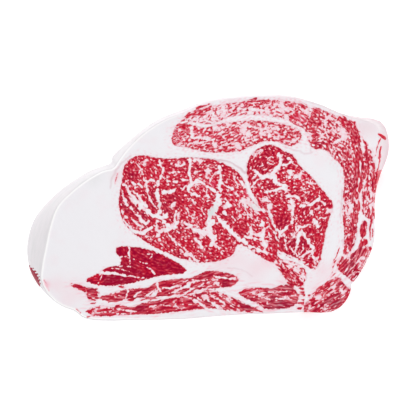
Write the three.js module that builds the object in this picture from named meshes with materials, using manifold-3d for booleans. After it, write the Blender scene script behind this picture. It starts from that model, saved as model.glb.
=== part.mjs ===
// Wagyu ribeye steak: one raw slice cut straight across the rib, lying on its lower cut face.
//
// Millimetres, +Z up. +X runs along the slice, from the thick fat end to the narrow strips of the
// far end. The origin is under the middle of the slice, on the surface that it lies on.
// Each muscle runs through the whole thickness, and one body of fat fills the space between them.
// Outlines are drawn from above, in millimetres, round a zero near the middle of the slice. Each is
// a closed smooth curve through a few points, and the whole drawing is then fitted to LENGTH.

import * as THREE from "three";
import { mergeVertices } from "three/addons/utils/BufferGeometryUtils.js";
import Module from "manifold-3d";

const wasm = await Module();
wasm.setup();

// Driving dimensions
const LENGTH = 260;          // the slice over all, along X
const THICKNESS = 32;        // from cut face to cut face
const SEAM_GAP = 0.3;        // clearance between a muscle and the fat round it
const POINT_SPACING = 3.6;   // distance between the points that a curve is divided into

// The outer wall, from the upper cut face down to the lower one
const BELLY_HEIGHT = 0.36 * THICKNESS;   // where the wall stands out furthest
const FOOT_SHARE = 0.78;                 // how much of the bulge is left at the lower face
const EDGE_ROUND = 0.9;                  // rounding along both cut edges
const WALL_WAVE = 0.5;                   // slow unevenness of the wall
const WALL_LEVELS = [0.06, 0.2, 0.36, 0.54, 0.7, 0.84, 0.94];   // rings, as shares of THICKNESS
const NORMAL_REACH = 2;                  // points on each side that set the way the wall faces
const PRISM_SPARE = 5;                   // how far a prism passes both cut faces before it is trimmed

// Edge of the upper cut face, clockwise from the low left: [x, y, bulge], where bulge is how far the
// wall stands out beyond the edge at its widest. The fat end and the far upper corner bulge most.
const FACE_EDGE = [
  [-118, -50, 4.5], [-117.5, -40.5, 10.5], [-115, -27.5, 14], [-111.5, -11.5, 12],
  [-106.5, 2, 6], [-97.5, 11.5, 4.8], [-84.5, 21.5, 3.4], [-74, 27, 1.6], [-67.5, 28.5, 2.5],
  [-64, 33.5, 4],
  [-57.5, 42, 2.4], [-46, 53, 1.8], [-32, 62, 1.2], [-15.5, 68.5, 0.6], [-4, 73.5, 0.4],
  [14, 77, 0.4], [36, 78.5, 0.4], [55, 78, 0.4], [76, 73, 0.4], [92, 66.5, 0.4], [104, 62.8, 0.6],
  [113, 60.5, 1.8], [118.2, 56.5, 6.5], [118.8, 49.5, 10], [118, 42, 11.5], [117.5, 33, 10],
  [117.5, 22.5, 5],
  [116, 7, 2], [116, -9, 1.8], [116, -22.5, 1.6], [111.5, -35.5, 1.6], [103.5, -49.5, 1.5],
  [100, -53.5, 1], [99, -59.5, 1.4], [94, -68, 1.5], [86, -72.8, 1.5], [66.5, -73, 1.8],
  [42, -73.5, 2], [17.5, -74.5, 2], [-14, -76.5, 2], [-49.5, -77.5, 2], [-81, -77, 1.8],
  [-89, -75.5, 1.2], [-94.5, -71, 1], [-103.5, -67.5, 1.4], [-112, -61, 2],
];

// The muscles, each with the closed outline that its cut face has. The edge strip and two lobes run on
// past the wall, where the body of the slice trims them, so that their lean shows in the wall.
const EYE = [
  [-51, 37.5], [-32, 35.5], [-9, 36], [8, 32.5], [21.5, 23.5], [28, 8], [36.5, -2], [44, -15],
  [47.5, -28.5], [45.5, -38], [31.5, -31], [20, -24.5], [16, -32], [6.5, -36.5], [-10.5, -37.5],
  [-25, -33], [-45, -23], [-60, -10], [-64, 6], [-61.5, 20.5], [-59.5, 31.5],
];
const INNER_SHOULDER = [
  [42.5, 45], [52, 41], [59, 37], [63, 30.5], [71, 23], [78.5, 14], [87, 2.5], [84.5, -6],
  [80.5, -24.5], [78.5, -34], [75, -43.5], [63, -37], [54, -33.5], [49.5, -26.5], [46.5, -15],
  [39.5, -0.5], [31.5, 8], [27.5, 18], [26, 28], [28.5, 37.5], [35, 43],
];
const SHOULDER_TAIL = [
  [51, -36.5], [57.5, -37.5], [65, -41], [68.5, -47.5], [64.5, -56], [59.5, -54], [53.5, -50],
  [50, -43.5],
];
const INNER_CAP = [
  [-26, 45.5], [-26.5, 52], [-22.5, 57.5], [-14, 59.5], [-4.5, 57], [8, 60], [21, 61.5], [36, 62],
  [52, 59.5], [63, 55], [64, 49], [57.5, 44], [47.5, 47], [39, 48], [29, 44], [19.5, 40.5],
  [5.5, 40], [-6, 40.5], [-16.5, 43.5],
];
const OUTER_CAP = [
  [-18.5, 63], [-13, 67], [-4, 71], [15.5, 74.5], [36, 76.5], [54, 76], [67.5, 72.5], [70, 68],
  [65, 58], [52.5, 63], [36, 66], [23, 66], [11, 64], [2.5, 60], [-7.5, 60.5],
];
const SHOULDER_BAND = [
  [72.5, 71], [81.5, 68.5], [91.5, 64], [99.5, 61], [103.5, 56], [105.5, 49], [105.5, 35],
  [103.5, 20.5], [101.5, 8], [103.5, -6], [104, -19], [101, -28.5], [95.5, -33.5], [95.5, -21.5],
  [94.5, -9], [93.5, 3.5], [95, 18.5], [93, 30], [87, 36], [81.5, 41.5], [72, 43], [68.5, 50],
  [67, 56.5], [71, 65.5],
];
const EDGE_STRIP = [
  [108.5, 39], [112, 43], [115.5, 33.5], [118.5, 22], [124, 10], [124, -2], [114.5, -8],
  [108.5, -4], [108, 8], [107.5, 20.5], [107.5, 31.5],
];
const EDGE_LENS = [
  [109.5, -8.5], [111.5, -10.5], [111, -16], [108.5, -21.5], [107, -20], [106.5, -14],
];
const LOWER_LOBE = [
  [111, -27], [121, -33], [107, -56], [98, -49.5], [93, -45.5], [89.5, -40.5], [92.5, -36.5],
  [98.5, -36], [104.5, -29.5],
];
const CORNER_LOBE = [
  [87, -50.5], [91.5, -48.5], [97, -56], [109, -60], [101, -75.5], [83.5, -85.5], [69.5, -81.5],
  [67, -68.5], [73, -63], [78.5, -57],
];
const RIB_FINGER = [
  [20, -60], [25, -57], [34, -56], [44, -56.5], [54, -54], [60, -57.5], [62.5, -63], [60.5, -68.5],
  [55.5, -70.5], [40.5, -71], [31, -66],
];
const INNER_RIB_STRIP = [
  [-78.5, -62.5], [-67.5, -58.5], [-54.5, -56], [-44, -55.5], [-38, -52], [-23, -49.5],
  [-13, -48.5], [-2, -44], [8, -44.5], [20.5, -49.5], [15.5, -54.5], [-4, -56.5], [-18.5, -58.5],
  [-35.5, -61.5], [-56.5, -63], [-71, -65],
];
const OUTER_RIB_STRIP = [
  [-87.5, -72], [-79.5, -68], [-70, -69], [-54.5, -69.5], [-48, -66.5], [-35.5, -64.5],
  [-18, -61.5], [-4, -59.5], [6, -59], [15.5, -63], [26, -68], [34, -71.5], [17.5, -72.5],
  [2.5, -70.5], [-10.5, -71], [-32, -73.5], [-60, -74.5], [-81, -75],
];
const FLANK_WEDGE = [
  [-66, -27], [-61, -26], [-53.5, -26.5], [-45, -28], [-26.5, -36], [-16.5, -44], [-35.5, -47],
  [-51.5, -51], [-71, -54], [-82, -52.5], [-88, -49.5], [-81, -46.5], [-76.5, -43], [-69, -40],
  [-63, -39.5], [-63, -34.5], [-66.5, -30],
];
const FLANK_CLAW = [
  [-98.5, -53.5], [-92, -54], [-83.5, -55.5], [-79, -57], [-81, -63.5], [-85.5, -64], [-88.5, -58],
];
// It lies wholly outside the edge of the cut face, in the bulge of the wall
const FAT_END_LOBE = [
  [-122.5, -44], [-119.8, -50], [-117.5, -58], [-124, -64], [-136, -56], [-132, -46],
];

// Colours of raw beef: lean with fine fat through it, leaner dark meat, and firm white fat
const MARBLED_LEAN = { color: 0xc4364f, roughness: 0.38, metalness: 0 };
const PALE_LEAN = { color: 0xd4667a, roughness: 0.42, metalness: 0 };
const DARK_LEAN = { color: 0x9c1533, roughness: 0.32, metalness: 0 };
const WHITE_FAT = { color: 0xf3ecee, roughness: 0.5, metalness: 0 };

const MUSCLES = [
  ["eye", EYE, MARBLED_LEAN],
  ["inner_shoulder", INNER_SHOULDER, MARBLED_LEAN],
  ["shoulder_tail", SHOULDER_TAIL, PALE_LEAN],
  ["inner_cap", INNER_CAP, PALE_LEAN],
  ["outer_cap", OUTER_CAP, PALE_LEAN],
  ["shoulder_band", SHOULDER_BAND, PALE_LEAN],
  ["edge_strip", EDGE_STRIP, PALE_LEAN],
  ["edge_lens", EDGE_LENS, PALE_LEAN],
  ["lower_lobe", LOWER_LOBE, DARK_LEAN],
  ["corner_lobe", CORNER_LOBE, DARK_LEAN],
  ["rib_finger", RIB_FINGER, DARK_LEAN],
  ["inner_rib_strip", INNER_RIB_STRIP, DARK_LEAN],
  ["outer_rib_strip", OUTER_RIB_STRIP, DARK_LEAN],
  ["flank_wedge", FLANK_WEDGE, DARK_LEAN],
  ["flank_claw", FLANK_CLAW, DARK_LEAN],
  ["fat_end_lobe", FAT_END_LOBE, DARK_LEAN],
];

/** Evenly spaced points of the smooth closed curve through hand-set points [x, y] or [x, y, bulge]. */
function closedCurve(points) {
  const corners = points.map(([x, y, bulge = 0]) => new THREE.Vector3(x, y, bulge));
  const curve = new THREE.CatmullRomCurve3(corners, true, "centripetal");
  const count = Math.max(12, Math.round(curve.getLength() / POINT_SPACING));
  return curve.getSpacedPoints(count).slice(0, count);
}

/** Twice the signed area of an outline: positive when it runs anticlockwise. */
function doubleArea(outline) {
  return outline.reduce((sum, a, i) => {
    const b = outline[(i + 1) % outline.length];
    return sum + a.x * b.y - b.x * a.y;
  }, 0);
}

/** The same outline, running anticlockwise. */
function anticlockwise(outline) {
  return doubleArea(outline) > 0 ? outline : [...outline].reverse();
}

/** Unit vectors that point out of an anticlockwise outline, each across a few neighbours. */
function outwardNormals(outline, reach) {
  const count = outline.length;
  return outline.map((_, i) => {
    const before = outline[(i - reach + count) % count];
    const after = outline[(i + reach) % count];
    return new THREE.Vector2(after.y - before.y, before.x - after.x).normalize();
  });
}

/** An outline moved outwards by one distance all round. */
function grown(outline, distance) {
  const normals = outwardNormals(outline, 1);
  return outline.map((p, i) => {
    const [outX, outY] = [normals[i].x * distance, normals[i].y * distance];
    return new THREE.Vector3(p.x + outX, p.y + outY, 0);
  });
}

/** Share of the bulge that the wall has at a height: none at the upper edge, all at the belly. */
function bulgeShare(z) {
  if (z > BELLY_HEIGHT) {
    return Math.sin((Math.PI / 2) * (THICKNESS - z) / (THICKNESS - BELLY_HEIGHT));
  }
  return 1 - (1 - FOOT_SHARE) * ((BELLY_HEIGHT - z) / BELLY_HEIGHT) ** 2;
}

/** One ring of the outer wall at a height, rounded in by roundIn at the cut edges. */
function wallRing(edge, normals, z, roundIn) {
  return edge.map((p, i) => {
    const alongEdge = (2 * Math.PI * i) / edge.length;
    const wave = WALL_WAVE * Math.sin(11 * alongEdge + z / 9) * Math.sin((Math.PI * z) / THICKNESS);
    const out = p.z * bulgeShare(z) + EDGE_ROUND - roundIn + wave;
    return new THREE.Vector3(p.x + normals[i].x * out, p.y + normals[i].y * out, z);
  });
}

/** Closed geometry through rings of equal length, the first facing down and the last facing up. */
function loft(rings) {
  const count = rings[0].length;
  const positions = rings.flat().flatMap((p) => [p.x, p.y, p.z]);
  const index = [];
  for (let ring = 0; ring < rings.length - 1; ring += 1) {
    for (let i = 0; i < count; i += 1) {
      const next = (i + 1) % count;
      const [a, b] = [ring * count + i, ring * count + next];
      const [c, d] = [a + count, b + count];
      index.push(a, b, d, a, d, c);
    }
  }
  const capOf = (ring) => {
    const outline = ring.map((p) => new THREE.Vector2(p.x, p.y));
    return THREE.ShapeUtils.triangulateShape(outline, []);
  };
  const last = (rings.length - 1) * count;
  capOf(rings[0]).forEach(([a, b, c]) => index.push(a, c, b));
  capOf(rings[rings.length - 1]).forEach(([a, b, c]) => index.push(last + a, last + b, last + c));
  const geometry = new THREE.BufferGeometry();
  geometry.setAttribute("position", new THREE.Float32BufferAttribute(positions, 3));
  geometry.setIndex(index);
  return geometry;
}

/** A closed geometry as a solid that can be joined and cut. */
function solidOf(geometry) {
  geometry.deleteAttribute("normal");
  geometry.deleteAttribute("uv");
  const merged = mergeVertices(geometry, 1e-4);
  return new wasm.Manifold(new wasm.Mesh({
    numProp: 3,
    vertProperties: new Float32Array(merged.attributes.position.array),
    triVerts: new Uint32Array(merged.index.array),
  }));
}

/** A straight prism over an outline, from one height to another. */
function prism(outline, bottom, top) {
  const shape = new THREE.Shape(outline.map((p) => new THREE.Vector2(p.x, p.y)));
  const geometry = new THREE.ExtrudeGeometry(shape, { depth: top - bottom, bevelEnabled: false });
  geometry.translate(0, 0, bottom);
  return solidOf(geometry);
}

/** A solid's triangles as geometry with flat faces. */
function geometryOf(solid) {
  const mesh = solid.getMesh();
  const positions = [];
  for (let v = 0; v < mesh.numVert; v += 1) {
    positions.push(...mesh.vertProperties.slice(v * mesh.numProp, v * mesh.numProp + 3));
  }
  const geometry = new THREE.BufferGeometry();
  geometry.setAttribute("position", new THREE.Float32BufferAttribute(positions, 3));
  geometry.setIndex(Array.from(mesh.triVerts));
  geometry.computeVertexNormals();
  return geometry;
}

/** The whole slice before the muscles are told apart: rings of the wall between two flat cut faces. */
function wholeSlice(edge) {
  const normals = outwardNormals(edge, NORMAL_REACH);
  return solidOf(loft([
    wallRing(edge, normals, 0, EDGE_ROUND),
    ...WALL_LEVELS.map((level) => wallRing(edge, normals, level * THICKNESS, 0)),
    wallRing(edge, normals, THICKNESS, EDGE_ROUND),
  ]));
}

/** The drawing's scale and shift that give the slice its LENGTH, with the middle of its box at zero. */
function fitToLength(drawnSlice) {
  const { min, max } = drawnSlice.boundingBox();
  const scale = LENGTH / (max[0] - min[0]);
  const middle = [(min[0] + max[0]) / 2, (min[1] + max[1]) / 2];
  return (points) => points.map(([x, y, bulge = 0]) => [
    (x - middle[0]) * scale,
    (y - middle[1]) * scale,
    bulge * scale,
  ]);
}

const fitted = fitToLength(wholeSlice(anticlockwise(closedCurve(FACE_EDGE))));
const slice = wholeSlice(anticlockwise(closedCurve(fitted(FACE_EDGE))));

const steak = new THREE.Group();

/** Adds a named piece to the steak. */
function addPiece(name, solid, look) {
  const mesh = new THREE.Mesh(geometryOf(solid), new THREE.MeshStandardMaterial(look));
  mesh.name = name;
  steak.add(mesh);
}

let fat = slice;
MUSCLES.forEach(([name, points, look]) => {
  const outline = anticlockwise(closedCurve(fitted(points)));
  const muscle = prism(outline, -PRISM_SPARE, THICKNESS + PRISM_SPARE).intersect(slice);
  const pocket = prism(grown(outline, SEAM_GAP), -PRISM_SPARE, THICKNESS + PRISM_SPARE);
  fat = fat.subtract(pocket);
  addPiece(name, muscle, look);
});
addPiece("fat", fat, WHITE_FAT);

export default steak;
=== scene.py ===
"""A raw, thick-cut wagyu ribeye steak that lies flat on a pale table, seen from almost straight above.

Each muscle and the fat round them is one closed piece: a flat-cut face, an underside and the wall
between them. The marbling is worked out on a flat grid over the cut face, as distances in millimetres
to the nearest edge between lean and fat, and the pieces carry those distances to their materials.
Lengths are in millimetres until a mesh is made. The cut face lies level, X runs along the steak.
"""
import math

import bpy
import numpy as np
from mathutils import Matrix, Vector


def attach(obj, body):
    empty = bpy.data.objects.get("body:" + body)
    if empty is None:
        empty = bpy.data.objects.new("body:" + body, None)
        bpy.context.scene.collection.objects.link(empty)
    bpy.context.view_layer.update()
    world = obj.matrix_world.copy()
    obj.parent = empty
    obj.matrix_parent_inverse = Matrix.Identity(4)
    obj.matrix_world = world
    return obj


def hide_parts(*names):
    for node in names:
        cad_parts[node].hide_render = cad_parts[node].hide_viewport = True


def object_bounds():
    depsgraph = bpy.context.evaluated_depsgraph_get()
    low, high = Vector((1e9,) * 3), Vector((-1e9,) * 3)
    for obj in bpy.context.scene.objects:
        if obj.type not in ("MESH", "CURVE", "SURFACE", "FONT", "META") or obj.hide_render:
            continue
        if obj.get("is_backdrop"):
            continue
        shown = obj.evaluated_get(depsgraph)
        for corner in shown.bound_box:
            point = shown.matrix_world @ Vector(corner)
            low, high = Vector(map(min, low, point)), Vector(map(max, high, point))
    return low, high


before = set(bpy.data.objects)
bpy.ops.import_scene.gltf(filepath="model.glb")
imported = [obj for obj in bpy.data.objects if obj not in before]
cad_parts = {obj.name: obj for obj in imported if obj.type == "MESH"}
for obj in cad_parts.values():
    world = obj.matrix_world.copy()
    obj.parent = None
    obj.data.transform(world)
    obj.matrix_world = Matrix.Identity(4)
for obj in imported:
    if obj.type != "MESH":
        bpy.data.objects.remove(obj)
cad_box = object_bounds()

MM = 0.001

# Sizes of the slice
THICKNESS = 32.0
FACE_HALF_LENGTH, FACE_HALF_WIDTH = 132.0, 83.0

# The photograph that the muscles, seams and spots are placed by: what one pixel covers on the cut face,
# and the pixel that lies over the middle of the slice
PHOTO_PIXEL = 0.7047
PHOTO_MIDDLE = (210.46, 209.5)
PHOTO_SIZE = 416
# How far the photograph's line of sight leans along X and Y for each millimetre up
VIEW_LEAN = (-0.06, 0.08)

# How each muscle is marbled: by how many mm its lean is fuller than the seams and curls alone would
# leave it, how rare blobs of fat are in it (0.5 is usual), the share of a fine veil of fat over its lean,
# how streaky it is (0 curly, 1 in long lines), and how dark its lean is (1 darkest)
MARBLING = {
    "eye": (0.24, 0.55, 0.05, 0.15, 0.25),
    "inner_shoulder": (0.23, 0.60, 0.04, 0.05, 0.30),
    "shoulder_tail": (-0.05, 0.45, 0.07, 0.40, 0.10),
    "inner_cap": (0.09, 0.20, 0.11, 0.40, -0.05),
    "outer_cap": (-0.08, 0.15, 0.12, 0.40, -0.05),
    "shoulder_band": (0.05, 0.40, 0.09, 0.30, 0.25),
    "edge_strip": (0.06, 0.45, 0.09, 0.60, 0.25),
    "edge_lens": (0.40, 0.80, 0.05, 0.50, 0.25),
    "lower_lobe": (-0.07, 0.80, 0.11, 0.90, 0.40),
    "corner_lobe": (0.08, 0.80, 0.10, 0.95, 0.45),
    "rib_finger": (0.24, 0.80, 0.13, 1.00, 0.45),
    "inner_rib_strip": (0.44, 0.65, 0.08, 0.90, 0.30),
    "outer_rib_strip": (0.23, 0.65, 0.08, 0.95, 0.30),
    "flank_wedge": (1.05, 1.20, 0.02, 0.50, 0.60),
    "flank_claw": (0.16, 0.65, 0.06, 0.90, 0.35),
}
MUSCLES = list(MARBLING)

# Which way the muscle fibres run on the face: photo pixel and angle in degrees from +X
GRAIN = [
    (140, 162, -35), (150, 176, -52), (128, 185, -62), (127, 202, -58), (133, 215, -45), (145, 228, -42),
    (160, 200, -55), (158, 215, -50), (172, 166, -8), (190, 164, 2), (207, 168, -8), (222, 172, -20),
    (235, 182, -38), (243, 196, -52), (250, 212, -55), (263, 225, -50), (272, 245, -60), (230, 205, -40),
    (240, 225, -30), (262, 248, -40), (245, 245, -32), (180, 185, -10), (195, 200, -30), (178, 205, -40),
    (175, 228, -48), (195, 235, -45), (210, 250, -30), (190, 252, -35), (165, 240, -42), (222, 232, -35),
    (275, 152, -20), (288, 160, -25), (300, 175, -28), (312, 185, -35), (262, 165, 60), (256, 180, -60),
    (262, 195, -45), (272, 180, 10), (285, 190, 20), (300, 200, 25), (318, 200, 35), (326, 208, 40),
    (275, 215, -50), (290, 225, 40), (305, 225, 55), (318, 228, 68), (320, 250, 75), (305, 250, 70),
    (292, 250, 65), (286, 258, -35), (300, 266, -10), (312, 268, 10), (295, 275, -50),
    (307, 228, -50), (306, 240, -52), (322, 196, -42), (290, 208, -68), (278, 206, -30), (318, 215, 80),
    (180, 135, 10), (195, 140, 22), (215, 135, 22), (235, 135, 22), (255, 130, 15), (275, 132, 0),
    (292, 138, -12), (200, 117, 20), (225, 112, 18), (245, 108, 12), (265, 108, 0), (285, 110, -15),
    (300, 118, -40), (318, 118, -30), (330, 130, -38), (345, 130, -50), (318, 142, -15), (338, 148, -55),
    (352, 150, -70), (348, 170, -80), (348, 195, -92), (350, 220, -85), (350, 245, -100),
    (368, 165, -80), (369, 190, -88), (366, 210, -95), (365, 230, -100), (350, 268, 50), (325, 300, 28),
    (335, 285, 40), (260, 298, -3), (285, 296, -8), (245, 296, 15), (120, 297, 8), (150, 290, 14),
    (170, 284, 22), (190, 284, 25), (210, 279, 22), (230, 280, 10), (100, 310, 5), (140, 308, 8),
    (180, 302, 8), (205, 298, -8), (224, 300, -28), (240, 306, -25), (125, 252, -60), (140, 258, -30),
    (165, 268, -20), (140, 272, -12), (110, 278, 8), (92, 280, 5),
]

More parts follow.
